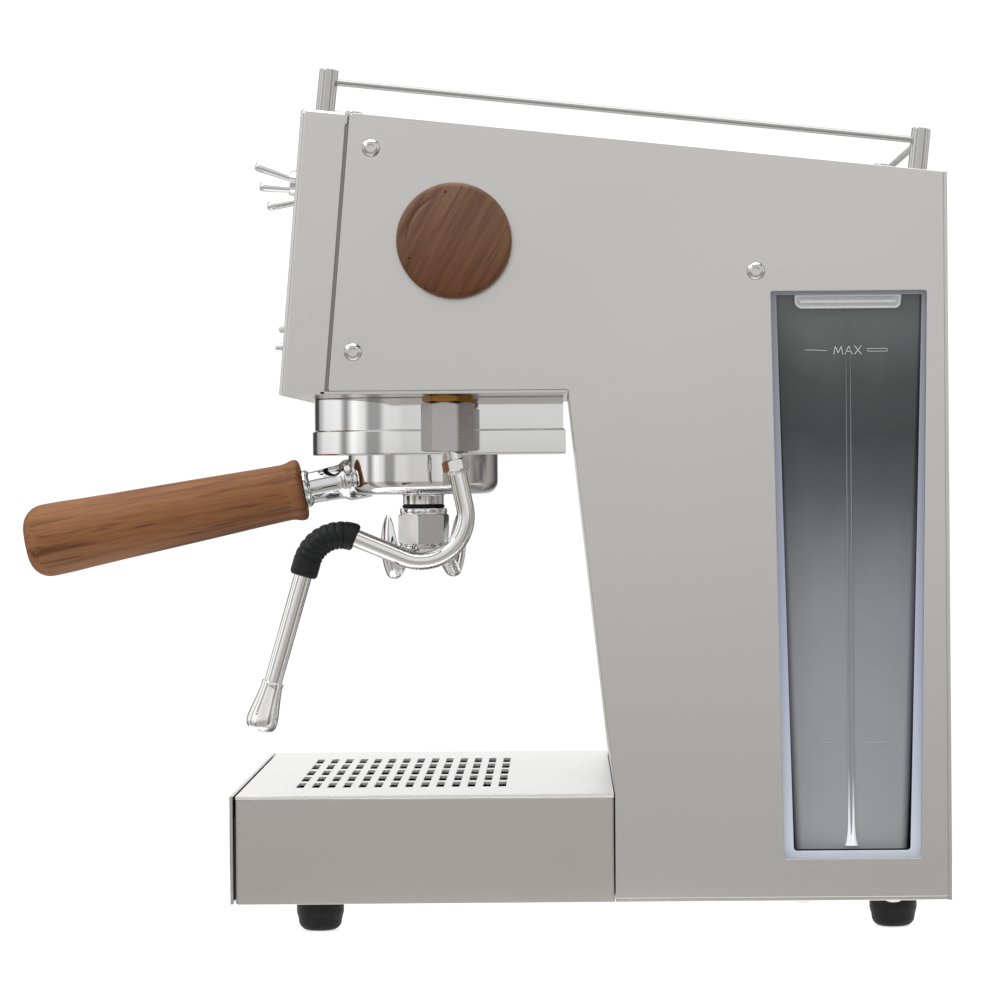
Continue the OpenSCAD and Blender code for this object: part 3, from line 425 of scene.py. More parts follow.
def brushed(name, colour, rough=0.3, grain=(1, 1, 30), amount=0.25, spread=0.05):
    """Satin sheet steel: a fine grain drawn out along one axis, and faint cloudy wear."""
    m = Nodes(name, colour, rough, 1.0)
    lines = m.noise(m.mapping(scale=grain), 300, 3, 0.6)
    cloud = m.noise(m.mapping(), 9, 3)
    m.feed("Roughness", m.sum(m.remap(lines, 0.3, 0.7, rough - spread, rough + spread),
                              m.remap(cloud, 0.3, 0.7, -0.02, 0.02)))
    tone = m.mix(m.remap(lines, 0.3, 0.7, 0.0, amount), colour, shade(colour, 0.82))
    m.feed("Base Color", m.mix(m.remap(cloud, 0.35, 0.7, 0, 0.12), tone, shade(colour, 0.9)))
    m.bump(lines, 0.04)
    return m.mat


def polished(name, colour, rough=0.04, wave=0.0):
    """Plated or buffed metal, with hairline smudges in its gloss."""
    m = Nodes(name, colour, rough, 1.0)
    smudge = m.noise(m.mapping(), 60, 4, 0.6)
    m.feed("Roughness", m.remap(smudge, 0.35, 0.75, rough * 0.6, rough * 2.0))
    if wave:
        m.bump(m.noise(m.mapping(), 45, 2, 0.4), wave, 0.001)
    return m.mat


def walnut(name, along, light, mid, dark, rough=0.42, painted_shade=None):
    """Oiled walnut with its grain along a direction, pores and darker year lines, and if asked a painted shade
    ramp up its height.
    """
    m = Nodes(name, mid, rough, Specular_IOR_Level=0.25)
    rot = Vector(along).normalized().rotation_difference(Vector((0, 0, 1))).to_euler()
    grain = m.mapping(rotation=rot)
    warp = m.noise(m.mapping(scale=(1, 1, 0.25), source=grain), 22, 3)
    year = m.noise(m.mapping(scale=(1, 1, 0.045), source=grain), 260, 4, 0.62, 0.5)
    fibre = m.noise(m.mapping(scale=(1, 1, 0.02), source=grain), 1500, 3, 0.6)
    pores = m.noise(m.mapping(scale=(1, 1, 0.035), source=grain), 900, 1)
    col = m.ramp(m.sum(year, m.remap(warp, 0.3, 0.7, -0.12, 0.12)),
                 (0.30, dark), (0.45, mid), (0.58, light), (0.78, mid))
    col = m.mix(m.remap(fibre, 0.3, 0.75, 0.0, 0.35), col, dark)
    col = m.mix(m.remap(pores, 0.62, 0.72, 0.0, 0.55), col, shade(dark, 0.4))
    # painted shade: a ramp over height multiplied into the wood, darker and redder low down
    if painted_shade:
        low, high, stops = painted_shade
        col = m.mix(1.0, col, m.ramp(m.remap(m.height(), low, high, 0, 1), *stops), "MULTIPLY")
    m.feed("Base Color", col)
    m.feed("Roughness", m.remap(fibre, 0.3, 0.7, rough - 0.06, rough + 0.1))
    m.bump(m.sum(fibre, m.remap(pores, 0.6, 0.72, 0, -1.2)), 0.12)
    return m.mat


def rubber(name, colour, rough):
    """Matt rubber with a fine grain and a little dust."""
    m = Nodes(name, colour, rough, Specular_IOR_Level=0.2)
    grain = m.noise(m.mapping(), 900, 3, 0.6)
    dust = m.noise(m.mapping(), 40, 3, 0.6)
    m.feed("Base Color", m.mix(m.remap(dust, 0.45, 0.8, 0, 0.3), colour, shade(colour, 1.8, 0.004)))
    m.feed("Roughness", m.remap(grain, 0.3, 0.7, rough - 0.08, rough + 0.1))
    m.bump(grain, 0.15)
    return m.mat


def moulded(name, colour, rough=0.35, **sockets):
    """Moulded plastic or lacquer with a slight orange-peel."""
    m = Nodes(name, colour, rough, **sockets)
    peel = m.noise(m.mapping(), 500)
    tone = m.noise(m.mapping(), 20, 3)
    m.feed("Base Color", m.mix(m.remap(tone, 0.3, 0.7, 0, 0.24), colour, shade(colour, 0.85)))
    m.feed("Roughness", m.remap(peel, 0.3, 0.7, rough - 0.03, rough + 0.05))
    m.bump(peel, 0.06)
    return m.mat


def smoked(name, stops, painted_glow=0.0):
    """Smoked plastic coloured with painted light: a ramp up its height, pale at the foot where the light guide
    below lights it and deeper in tone higher up, stretched cloud for painted soft sheens, and a painted glow if
    asked.
    """
    m = Nodes(name, (0.2, 0.2, 0.2), 0.16)
    # painted sheen: noise stretched up the height shifts the ramp into soft streaks
    cloud = m.noise(m.mapping(scale=(1, 1, 0.35)), 14, 3)
    level = m.sum(m.remap(m.height(), 0.03, 0.29, 0, 1), m.remap(cloud, 0.3, 0.7, -0.07, 0.07))
    colour = m.ramp(level, *stops)
    m.feed("Base Color", colour)
    m.feed("Roughness", m.remap(m.noise(m.mapping(), 200, 3, 0.6), 0.3, 0.7, 0.14, 0.26))
    # painted glow: the ramp's colour is given off as light, though the part is no lamp
    if painted_glow:
        m.feed("Emission Color", colour)
        m.bsdf.inputs["Emission Strength"].default_value = painted_glow
    return m.mat


STEEL = (0.64, 0.634, 0.624)
CROSS, UPRIGHT, DEEP = (30, 1, 1), (1, 1, 30), (1, 30, 1)  # which way a grain is squeezed
# painted shade for the knob: its wood darker and redder at the bottom, full tone at the top
KNOB_PAINTED_SHADE = ((0.0, (0.53, 0.33, 0.18)), (0.5, (0.76, 0.68, 0.60)), (1.0, (1.0, 1.0, 1.0)))
MAT = {
    "panel": brushed("panel_steel", STEEL, 0.2, DEEP, 0.14, 0.03),
    "front": brushed("front_steel", STEEL, 0.2, UPRIGHT, 0.2),
    "tray": brushed("tray_steel", (0.60, 0.59, 0.575), 0.2, DEEP, 0.2),
    "top": brushed("top_steel", (0.66, 0.655, 0.645), 0.28, DEEP),
    # steel, its base lightened well past the other steel as a painted sheen for the tray top
    "grille": brushed("grille_steel_painted_sheen", (0.95, 0.95, 0.945), 0.3, CROSS),
    "wall": brushed("wall_steel", (0.72, 0.715, 0.70), 0.22, UPRIGHT),
    # painted shade: the inner frame is made dark so the panel gap in front of it reads as a dark line
    "inner": brushed("inner_steel_painted_shade", (0.30, 0.30, 0.30), 0.4, UPRIGHT),
    "chrome": polished("chrome", (0.73, 0.73, 0.735), 0.03),
    "satin": polished("satin_chrome", (0.74, 0.735, 0.73), 0.14),
    "tube": polished("tube_steel", (0.80, 0.795, 0.785), 0.06),
    "nut": brushed("nut_steel", (0.52, 0.50, 0.505), 0.3, UPRIGHT, 0.4, 0.1),
    "brass": brushed("brass", (0.33, 0.165, 0.038), 0.3, (1, 1, 20), 0.3, 0.1),
    "brass_cast": brushed("cast_brass", (0.55, 0.40, 0.18), 0.38, (1, 1, 1), 0.3, 0.1),
    "copper": polished("copper", (0.75, 0.42, 0.25), 0.2),
    "rubber": rubber("black_rubber", (0.012, 0.013, 0.012), 0.55),
    "foot": rubber("foot_rubber", (0.006, 0.006, 0.006), 0.5),
    "black": moulded("black_plastic", (0.02, 0.02, 0.021), 0.4),
    "grey": moulded("grey_plastic", (0.055, 0.06, 0.065), 0.45),
    "white": moulded("white_plastic", (0.80, 0.81, 0.82), 0.25),
    "lamp": moulded("lamp_lens", (0.85, 0.83, 0.78), 0.15, Transmission_Weight=0.3),
    "hose": moulded("hose_silicone", (0.70, 0.72, 0.71), 0.35, Transmission_Weight=0.2),
    "board": moulded("board_lacquer", (0.02, 0.12, 0.045), 0.3),
    "blue": moulded("switch_blue", (0.03, 0.09, 0.30), 0.4),
    "red": moulded("needle_red", (0.55, 0.03, 0.02), 0.35),
    "screw": polished("screw_steel", (0.62, 0.615, 0.61), 0.1),
    "spout": polished("spout_chrome", (0.80, 0.80, 0.81), 0.05, 0.3),
    "post": brushed("post_steel", (0.52, 0.518, 0.515), 0.22, UPRIGHT, 0.15),
    "rod": brushed("rod_steel", (0.42, 0.418, 0.415), 0.28, DEEP, 0.15),
    "grip": rubber("grip_rubber", (0.012, 0.013, 0.013), 0.38),
    "dial": moulded("dial_enamel", (0.86, 0.86, 0.84), 0.4),
    "knob_wood": walnut("knob_walnut", (0, 0.5, 0.86), (0.27, 0.148, 0.092), (0.22, 0.118, 0.072),
                        (0.15, 0.076, 0.044), painted_shade=(0.279, 0.328, KNOB_PAINTED_SHADE)),
    "handle_wood": walnut("handle_walnut", (0, math.cos(0.19), math.sin(0.19)), (0.33, 0.143, 0.057),
                          (0.25, 0.102, 0.040), (0.12, 0.045, 0.017), rough=0.55),
    "mark": moulded("mark_white", (0.78, 0.79, 0.80), 0.4),
    "mark_faint": moulded("mark_grey", (0.40, 0.41, 0.43), 0.5),
    "lens": Nodes("gauge_lens_glass", (0.95, 0.97, 1.0), 0.03, Transmission_Weight=1.0, IOR=1.45).mat,
    # painted light and shade on the tank: pale at the foot, darkest at seven tenths of its height, a little
    # lighter again at the top
    "tank": smoked("smoked_tank", (
        (0.0, (0.36, 0.365, 0.37)), (0.12, (0.345, 0.35, 0.37)), (0.25, (0.335, 0.345, 0.37)),
        (0.40, (0.285, 0.295, 0.32)), (0.50, (0.20, 0.207, 0.223)), (0.60, (0.095, 0.10, 0.105)),
        (0.70, (0.045, 0.048, 0.05)), (0.80, (0.06, 0.063, 0.065)), (0.90, (0.125, 0.13, 0.133)),
        (1.0, (0.15, 0.155, 0.158)))),
    # painted reflection: the rib is white at its foot where the light below shows in it, and it faintly glows
    "tank_rib": smoked("smoked_rib", (
        (0.0, (0.95, 0.96, 1.0)), (0.07, (0.8, 0.82, 0.85)), (0.13, (0.30, 0.31, 0.33)),
        (0.6, (0.22, 0.23, 0.24)), (1.0, (0.12, 0.125, 0.13))), 0.1),
    # painted light: the rim runs pale at the foot to dark at the top and glows, standing in for the tank's
    # edges catching light
    "painted_light_rim": smoked("lit_rim_plastic", (
        (0.0, (0.56, 0.60, 0.68)), (0.3, (0.44, 0.47, 0.60)), (0.6, (0.33, 0.35, 0.43)),
        (1.0, (0.24, 0.25, 0.29))), 0.22),
}


# ---------------------------------------------------------------- putting pieces in
def piece(name, mesh, mat, body, slot, *replaced):
    """Puts a mesh in on its body, in place of CAD nodes or, with none named, beside them. The slot is not used.
    """
    mesh.name = name
    ob = bpy.data.objects.new(name, mesh)
    bpy.context.scene.collection.objects.link(ob)
    ob.data.materials.clear()
    ob.data.materials.append(MAT[mat])
    even_normals(ob)
    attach(ob, body)
    if replaced:
        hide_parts(*replaced)
    return ob


def even_normals(ob):
    ob.modifiers.new("even", "WEIGHTED_NORMAL").keep_sharp = True


def bevelled(ob, width, angle):
    b = ob.modifiers.new("bevel", "BEVEL")
    b.width, b.segments, b.limit_method, b.angle_limit = width * MM, 2, "ANGLE", math.radians(angle)


def dress(node, mat, bevel):
    """Gives a CAD node its material and, if asked, eased edges."""
    ob = NODES[node]
    ob.data.materials.clear()
    ob.data.materials.append(MAT[mat])
    ob.modifiers.new("weld", "WELD").merge_threshold = 1e-6
    if bevel:
        bevelled(ob, bevel, 40)
    even_normals(ob)


def cut(ob, *cutters):
    """Cuts meshes out of a piece, and leaves its large faces flat."""
    cutter = bpy.data.objects.new("cutter", join(*cutters))
    bpy.context.scene.collection.objects.link(cutter)
    mod = ob.modifiers.new("cut", "BOOLEAN")
    mod.object, mod.operation, mod.solver = cutter, "DIFFERENCE", "EXACT"
    me = bpy.data.meshes.new_from_object(ob.evaluated_get(bpy.context.evaluated_depsgraph_get()))
    ob.modifiers.clear()
    for p in me.polygons:
        p.use_smooth = p.area < 1e-4
    even_normals(ob)
    old, ob.data = ob.data, me
    bpy.data.meshes.remove(old)
    bpy.data.objects.remove(cutter)


def side_matrix(x):
    """For plates on a side: X of the piece runs back, Y runs up, Z out to the right."""
    return place(x, 0, 0, (1, 0, 0), (0, 1, 0))


# ---------------------------------------------------------------- CAD nodes that keep their shape
for mat, bevel, nodes in (
    ("top", 0.25, ["top_cover"]), ("top", 0.3, ["tank_lid"]), ("front", 0.3, ["head_floor", "base_plate"]),
    ("inner", 0.2, ["inner_frame"]), ("wall", 0.3, ["spine_wall"]), ("panel", 0, ["back_panel"]),
    ("tray", 0.8, ["tray_housing"]), ("tray", 0.4, ["drawer_front"]), ("grille", 0.25, ["drip_grille"]),
    ("black", 0.4, ["drip_drawer"]), ("black", 0.2, ["drawer_ends"]), ("black", 0.3, ["mains_inlet"]),
    ("satin", 0.2, ["group_head"]), ("satin", 0, ["filter_basket"]), ("rubber", 0.2, ["group_gasket"]),
    ("chrome", 0, ["shower_screen"]), ("chrome", 0.3, ["shower_screw"]), ("white", 0, ["wand_seat"]),
    ("brass_cast", 0.3, ["steam_valve", "boiler"]), ("copper", 0, ["steam_pipe"]),
    ("brass", 0.2, ["knob_spindle"]), ("blue", 0.3, ["toggle_switches"]), ("grey", 0.3, ["tank_cradle"]),
    ("white", 0.3, ["pump"]), ("hose", 0, ["water_hoses"]), ("board", 0.1, ["control_board"]),
):
    for node in nodes:
        dress(node, mat, bevel)

# ---------------------------------------------------------------- side panels
SPINE_LEAN = math.radians(6.2)
SPINE_Y = (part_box("spine_wall")[1].y - Y0) / MM - SHEET / math.cos(SPINE_LEAN)
BASE_TOP = BASE_Z + SHEET
FLOOR_TOP = HEAD_Z + SHEET
BACK_Y = HALF_D - SHEET
WINDOW_Y, WINDOW_Z0, WINDOW_Z1 = HALF_D - 43.4, 32.2, 280.6
WINDOW_LOW, WINDOW_HIGH = 29.85, 34.1  # half widths at its bottom and top


def spine_at(z):
    return SPINE_Y - (z - TRAY_Z) * math.tan(SPINE_LEAN)


side_outline = rounded([
    (SPINE_Y, BASE_TOP, 0.5), (SPINE_Y, TRAY_Z, 1), (spine_at(FLOOR_TOP), FLOOR_TOP, 0.8),
    (front_at(FLOOR_TOP) + FLANGE_D + PANEL_GAP, FLOOR_TOP, 1.2), (*top_corner(FLANGE_D + PANEL_GAP), 2.2),
    (BACK_Y, top_at(BACK_Y), 1), (BACK_Y, BASE_TOP, 0.6)])
window = rounded([(WINDOW_Y - WINDOW_LOW, WINDOW_Z0, 1.2), (WINDOW_Y + WINDOW_LOW, WINDOW_Z0, 1.2),
                  (WINDOW_Y + WINDOW_HIGH, WINDOW_Z1, 1.2), (WINDOW_Y - WINDOW_HIGH, WINDOW_Z1, 1.2)])
for side, x, holes in (("right", HALF_W - SHEET, [window]), ("left", -HALF_W, [])):
    node = "side_panel_" + side
    piece(node + "_skin", plate(side_outline, holes, SHEET, side_matrix(x), 0.35),
          "panel", "machine", node, node)

# ---------------------------------------------------------------- front panel
GAUGE_Z, GAUGE_R = 288.0, 23.0
TOGGLE_Z, TOGGLE_R, TOGGLE_XS = 335.0, 6.0, (-45.0, 0.0, 45.0)
BUTTON_X, BUTTON_Z, LAMP_Z = 110.0, 258.0, 266.0
THROW = 15.0  # degrees a toggle is up or down


def thicken(mesh, t, bevel):
    """Gives a surface its sheet thickness."""
    ob = bpy.data.objects.new("skin", mesh)
    sol = ob.modifiers.new("sheet", "SOLIDIFY")
    sol.thickness, sol.offset, sol.use_even_offset = t * MM, -1.0, True
    bevelled(ob, bevel, 50)
    me = baked(ob)
    for p in me.polygons:
        p.use_smooth = True
    me.set_sharp_from_angle(angle=math.radians(30))
    return me


def front_shell():
    """One sheet bent round the sides and over the top."""
    bm = bmesh.new()
    low = front_at(HEAD_Z)
    corners = [(low, HEAD_Z), top_corner(0), top_corner(FLANGE_D), (low + FLANGE_D, HEAD_Z)]
    left, right = ([bm.verts.new((x, y, z)) for y, z in corners] for x in (-HALF_W, HALF_W))
    bm.faces.new((left[0], right[0], right[1], left[1]))
    bm.faces.new((left[1], right[1], right[2], left[2]))
    bm.faces.new((right[0], right[3], right[2], right[1]))
    bm.faces.new(left)
    edges = [e for e in bm.edges if len(e.link_faces) == 2]
    bmesh.ops.bevel(bm, geom=edges, offset=2.3, offset_type="OFFSET", segments=6, profile=0.5, affect="EDGES")
    return thicken(finish_mesh(bm, place(0, 0, 0), 40), SHEET, 0.2)


def front_point(x, z):
    """Matrix at a height on the front panel, Z out of it and Y up it."""
    return place(x, front_at(z), z, (0, -math.cos(FRONT_LEAN), math.sin(FRONT_LEAN)))


def drill(r, matrix, segs):
    return lathe([(0, -6), (r, -6), (r, 6), (0, 6)], matrix, segs)


cut(piece("front_panel_skin", front_shell(), "front", "machine", "front_panel", "front_panel"),
    drill(GAUGE_R, front_point(0, GAUGE_Z), 96),
    *[drill(TOGGLE_R, front_point(x, TOGGLE_Z), 48) for x in TOGGLE_XS],
    drill(3.5, front_point(BUTTON_X, BUTTON_Z), 32), drill(1.5, front_point(BUTTON_X, LAMP_Z), 32))
# small tabs that close the gap at the top, one on each flange
tab_y, tab_z = top_corner(FLANGE_D - 0.5)
end_y, end_z = top_corner(FLANGE_D + 0.9)
tab = rounded([(tab_y, tab_z), (tab_y - 0.45, tab_z - 5.6), (end_y - 0.35, end_z - 5.3, 1.2),
               (end_y, end_z, 1.6)])
for side, x in (("right", HALF_W - SHEET), ("left", -HALF_W)):
    piece("front_tab_" + side, plate(tab, [], SHEET, side_matrix(x), 0.25), "front", "machine", "front_panel")

# ---------------------------------------------------------------- screws
SIDE_SCREWS = ((64.1, 344.6), (55.5, 255.4), (232.1, 289.5))  # from the front, and up
heads = [button_head(8, 2.2, 2.6, place(s * HALF_W, y - HALF_D, z, (s, 0, 0), (0, 1, 0.35)), 3.0)
         for s in (1, -1) for y, z in SIDE_SCREWS]
piece("panel_screw_heads", join(*heads), "screw", "machine", "panel_screws", "panel_screws")
heads = [button_head(7.5, 2.0, 2.5,
                     place(s * (HALF_W - SHEET - 9), HALF_D - y, BASE_Z, (0, 0, -1), (1, 0.2, 0)))
         for s in (1, -1) for y in (65, 25)]
piece("base_screw_heads", join(*heads), "screw", "machine", "base_screws", "base_screws")

# ---------------------------------------------------------------- steam knob, carved on its face
KNOB_R, KNOB_T, KNOB_GAP, KNOB_Y, KNOB_Z = 25.15, 11.5, 0.8, 100.3 - HALF_D, 303.4
KNOB_EDGE = 2.2  # round of its rim


def knob_face(q, deg):
    """Crowned, with a rounded rim, a carved arc and two drilled dots."""
    z = KNOB_T - 0.35 * (q / KNOB_R) ** 2
    edge = KNOB_R - q
    if edge < KNOB_EDGE:
        z -= KNOB_EDGE - math.sqrt(max(0.0, KNOB_EDGE ** 2 - (KNOB_EDGE - edge) ** 2))
    along = smoothstep(112, 126, deg) * (1 - smoothstep(168, 188, deg))
    z -= 0.75 * along * math.exp(-((q - 20.5) / (0.35 + 0.35 * along)) ** 2)
    here = Vector(polar(q, deg))
    for spot in (99, 202):
        z -= 0.7 * (1 - smoothstep(0.35, 0.75, (here - Vector(polar(21, spot))).length))
    return z


knob_at = place(HALF_W + KNOB_GAP, KNOB_Y, KNOB_Z, (1, 0, 0), (0, 1, 0))
radii = [2, 5, 8, 11, 14, 16.5, 18, 18.8] + [19.2 + 0.2 * k for k in range(18)]
radii += [22.9, 23.1, 23.5, 23.9, 24.3, 24.65, 24.9, 25.08, KNOB_R]
rim = [(KNOB_R, KNOB_T - 2.55), (KNOB_R, 1.0), (KNOB_R - 0.3, 0.35), (KNOB_R - 1.0, 0), (14, 0), (13, 1.2),
       (3.2, 1.2), (3.2, 7.0), (0, 7.0)]
piece("steam_knob_wood", join(dimpled_disc(knob_face, knob_at, radii), lathe(rim, knob_at, 288)), "knob_wood",
      "knob", "steam_knob", "steam_knob")

# ---------------------------------------------------------------- portafilter
GROUP_Y, FILTER_Z, FILTER_R = 81.4 - HALF_D, 192.0, 35.3
HANDLE_FALL, HANDLE_L, HANDLE_Y, HANDLE_Z = 10.9, 132.8, GROUP_Y - 56.3, 194.7
FILTER_TOP = HEAD_Z - 15.8
fall_y, fall_z = polar(1, HANDLE_FALL)
handle_at = place(0, HANDLE_Y, HANDLE_Z, (0, -fall_y, -fall_z))
handle = [(0, 0), (4.2, 0), (12.6, 0), (13.7, 0.45), (14.3, 1.3), (14.45, 2.4), (14.3, 3.9), (13.8, 5.3),
          (13.4, 6.8),
          (13.25, 8.6), (13.3, 12), (13.55, 20), (13.9, 30), (14.3, 41), (14.75, 54), (15.25, 70), (15.8, 88),
          (16.4, 104), (16.85, 113), (17.0, 119)]
handle += arc(7.0, HANDLE_L - 10, 10, 0, 76, 10) + [(6.0, HANDLE_L - 0.12), (0, HANDLE_L)]
piece("portafilter_handle_wood", lathe(handle, handle_at, 96, 60), "handle_wood", "portafilter",
      "portafilter_handle", "portafilter_handle")
neck = [(0, -31), (9.8, -31), (9.8, -21.5), (9.5, -20.4), (8.8, -19.4), (8.2, -18.2), (7.95, -16), (7.8, -12),
        (7.65, -7), (7.55, -4.6), (7.6, -3.6), (8.3, -2.9), (8.8, -2.2), (8.9, -1.2), (8.8, -0.4), (8.4, 0),
        (0, 0)]
piece("portafilter_neck_chrome", lathe(neck, handle_at, 96, 35),
      "chrome", "portafilter", "portafilter_neck", "portafilter_neck")

body_at = place(0, GROUP_Y, FILTER_Z)
h = FILTER_TOP - FILTER_Z
bowl = [(4, 0.4), (4, -6.2), (4.4, -6.6), (8.6, -6.6), (9, -6.3), (9, -5.1), (9.35, -5), (9.6, -4.7),
        (9.6, -1.0), (9.9, -0.3), (10.8, 0), (28.5, 0)]
bowl += arc(FILTER_R - 6.2, 6.2, 6.2, -86, 0, 12)
bowl += [(FILTER_R, h - 6.5), (FILTER_R - 0.5, h - 6.0), (FILTER_R - 0.5, h - 1.5), (FILTER_R - 0.8, h - 1),
         (31.4, h - 1), (31, h - 1.4), (31, 2.9), (30.5, 2.5), (4, 2.5), (4, 0.4)]


def lug(turn):
    """One of the two ears that hold the bowl in the group."""
    base, tip = FILTER_R - 1.5, FILTER_R + 4.9
    levels = []
    for z, i in ((0, 0.4), (0.4, 0), (3.6, 0), (4, 0.4)):
        outline = rounded([(base, -11 + i), (tip - i, -9 + i, 1.5), (tip - i, 9 - i, 1.5), (base, 11 - i)])
        levels.append([(x, y, z) for x, y in outline])
    return loft(levels, body_at @ up(h - 7) @ spin(turn, "Z"))


piece("portafilter_body_chrome", join(lathe(bowl, body_at, 128, 32), lug(0), lug(180)), "chrome", "portafilter",
      "portafilter_body", "portafilter_body")
seal = [(9, 0.2), (9, 1.4), (9.3, 1.6), (9.8, 1.4), (10, 0.9), (9.9, 0.3), (9.4, 0), (9, 0.2)]
piece("spout_seal_ring", lathe(seal, body_at @ up(-6.6), 64),
      "rubber", "portafilter", "spout_seal", "spout_seal")


# ---------------------------------------------------------------- double spout
def scoop(matrix):
    """Leaf-shaped open spout: (reach, height, half width, curl) along its middle line."""
    line = [(7.5, -0.6, 4.6, 0.8), (10.5, -2.6, 5.0, 1.6), (14, -5.6, 5.3, 2.4), (17, -9.2, 5.3, 2.8),
            (19, -12.0, 5.0, 2.7), (20.6, -13.2, 4.6, 2.5), (22.2, -12.3, 4.8, 2.6), (24, -8.8, 5.2, 2.9),
            (25.6, -3.5, 5.3, 3.0), (26.3, 2.2, 5.1, 2.7), (26.2, 7.6, 4.3, 2.0), (25.6, 12.4, 3.0, 1.2),
            (24.9, 15.6, 1.5, 0.5), (24.6, 16.5, 0.5, 0.1)]
    bm = bmesh.new()
    rows = []
    for i, (r, z, half, curl) in enumerate(line):
        a, b = line[max(i - 1, 0)], line[min(i + 1, len(line) - 1)]
        d = Vector((b[0] - a[0], b[1] - a[1])).normalized()
        lifts = [(-1 + k / 6, curl * abs(-1 + k / 6) ** 2.2) for k in range(13)]
        rows.append([bm.verts.new((half * t, r - d.y * lift, z + d.x * lift)) for t, lift in lifts])
    for a, b in zip(rows, rows[1:]):
        for k in range(12):
            bm.faces.new((a[k], a[k + 1], b[k + 1], b[k]))
    ob = bpy.data.objects.new("scoop", finish_mesh(bm, matrix, 60))
    sol = ob.modifiers.new("sheet", "SOLIDIFY")
    sol.thickness, sol.offset = 1.15 * MM, 0
    sub = ob.modifiers.new("round", "SUBSURF")
    sub.levels = sub.render_levels = 2
    me = baked(ob)
    for p in me.polygons:
        p.use_smooth = True
    return me


hub_at = body_at @ up(-26.1)
cup = [(0, -1.2), (5, -1.1), (8.6, -0.3), (10.6, 0.5), (11.5, 1.2), (11.6, 2.0), (11.0, 2.6), (9.5, 2.9)]
collar = [(10.4, 16.5), (10.9, 16.9), (11.15, 17.4), (11.15, 18.9), (10.9, 19.4), (9.2, 19.5), (9.0, 19.2),
          (9.0, 8), (0, 8)]
spout = [lathe(cup, hub_at, 96, 40), hex_bar(21.8, 14.6, hub_at @ up(2.4), 20, 1.1),
         lathe(collar, hub_at, 96, 40)]
spout += [scoop(hub_at @ spin(a, "Z")) for a in (50, 230)]
piece("double_spout_chrome", join(*spout), "spout", "portafilter", "double_spout", "double_spout")

# ---------------------------------------------------------------- group cover, pressed with a ledge
COVER_R, COVER_H = 52.0, 26.5
COVER_BACK = spine_at(HEAD_Z - COVER_H) - 4 - GROUP_Y


def cover_ring(inset, z):
    """Half a circle in front, straight sides and a straight back."""
    r, back = COVER_R - inset, COVER_BACK - min(inset, 1.5)
    pts = arc(0, 0, r, 180, 360, 64)
    pts += [(r, back * 0.3), (r, back * 0.7), (r, back), (0, back), (-r, back), (-r, back * 0.7),
            (-r, back * 0.3)]
    return [(x, y, z) for x, y in pts]


cover_levels = [(3.0, COVER_H - 2.4), (3.0, 0.5), (2.6, 0.1), (0.7, 0), (0.25, 0.15), (0.05, 0.5), (0, 1.0),
                (0, 10.4), (0.06, 10.9), (0.35, 11.25), (0.8, 11.4), (1.0, 11.6), (1.05, 12.0),
                (1.05, COVER_H - 0.7), (1.3, COVER_H - 0.15), (1.6, COVER_H)]
cover = loft([cover_ring(*level) for level in cover_levels], place(0, GROUP_Y, HEAD_Z - COVER_H),
             (False, True), 28)
piece("group_cover_chrome", cover, "chrome", "machine", "group_cover", "group_cover")

# ---------------------------------------------------------------- steam wand
WAND_X, WAND_Y, BALL_Z, BALL_R, TUBE_R, GRIP_R = 105.0, 96.0 - HALF_D, HEAD_Z - 14.8, 8.2, 4.0, 6.2
WAND_LEAN = math.radians(11.8)
STEPS = [(35.7, 20, 124.5), (23.3, 16, -96.5), (55.5, 0, 0)]
wand_at = place(WAND_X, WAND_Y, BALL_Z, (0, math.sin(WAND_LEAN), -math.cos(WAND_LEAN)))
path = bent_path(STEPS)
ball = lathe([(0, -BALL_R)] + arc(0, 0, BALL_R, -89, 89, 24) + [(0, BALL_R)], wand_at, 64, 60)
sleeve = lathe([(3.9, 19.2), (4.7, 19.3), (4.9, 19.8), (4.7, 20.4), (4.0, 20.8)], wand_at, 48)
collar = hex_bar(10.6, 5.2, wand_at @ up(14.2), 0, 0.7, 3.9)
piece("wand_tube_steel", join(sweep(path, TUBE_R, wand_at, 40), ball, collar, sleeve),
      "tube", "wand", "wand_tube", "wand_tube")
# the grip covers the second bend and a little of the straights on both sides of it
fine = bent_path([STEPS[1], (6.8, 0, 0)], 0.35, 130)
grip_path = [p for p in fine if p.z >= STEPS[1][0] - 0.6 or p.y != 0]
after_first_bend = Matrix.Translation(bent_path(STEPS[:1])[-1]) @ spin(-STEPS[0][2], "X")


def grip_r(i, share):
    """Seven shallow grooves between two plain, rounded ends."""
    r = GRIP_R
    if 0.17 < share < 0.84:
        wave = math.cos((share - 0.17) / 0.67 * 7 * TAU)
        r -= 0.38 * ((1 + wave) / 2) ** 3
    ends = min(share, 1 - share)
    if ends < 0.03:
        r -= (1 - ends / 0.03) ** 2
    return r


piece("wand_grip_rubber", sweep(grip_path, grip_r, wand_at @ after_first_bend, 48, 55),
      "grip", "wand", "wand_grip", "wand_grip")
out = (wand_at.to_3x3() @ (path[-1] - path[-2])).normalized()
across = Vector((1, 0, 0))
tip_at = Matrix.Translation(wand_at @ path[-1]) @ Matrix((across, out.cross(across), out)).transposed().to_4x4()
tip_at = tip_at @ Matrix.Scale(MM, 4)
tip = [(3.9, 0.3), (4.3, 0), (4.7, 0.15), (4.9, 0.6), (4.9, 1.6), (4.75, 2.2), (4.85, 3.0), (5.3, 6.5),
       (5.95, 10.5), (6.6, 14.2), (6.95, 16.8), (7.0, 18.3), (6.8, 19.8), (6.3, 21.1), (5.4, 22.0),
       (4.0, 22.5),
       (1.2, 22.6), (0, 22.6)]
hole = [(0, 10), (0.6, 10), (0.6, 30), (0, 30)]
cut(piece("wand_tip_steel", lathe(tip, tip_at, 96, 40), "tube", "wand", "wand_tip", "wand_tip"),
    *[lathe(hole, tip_at @ spin(90 * k + 25, "Z") @ spin(22, "Y"), 24) for k in range(4)])

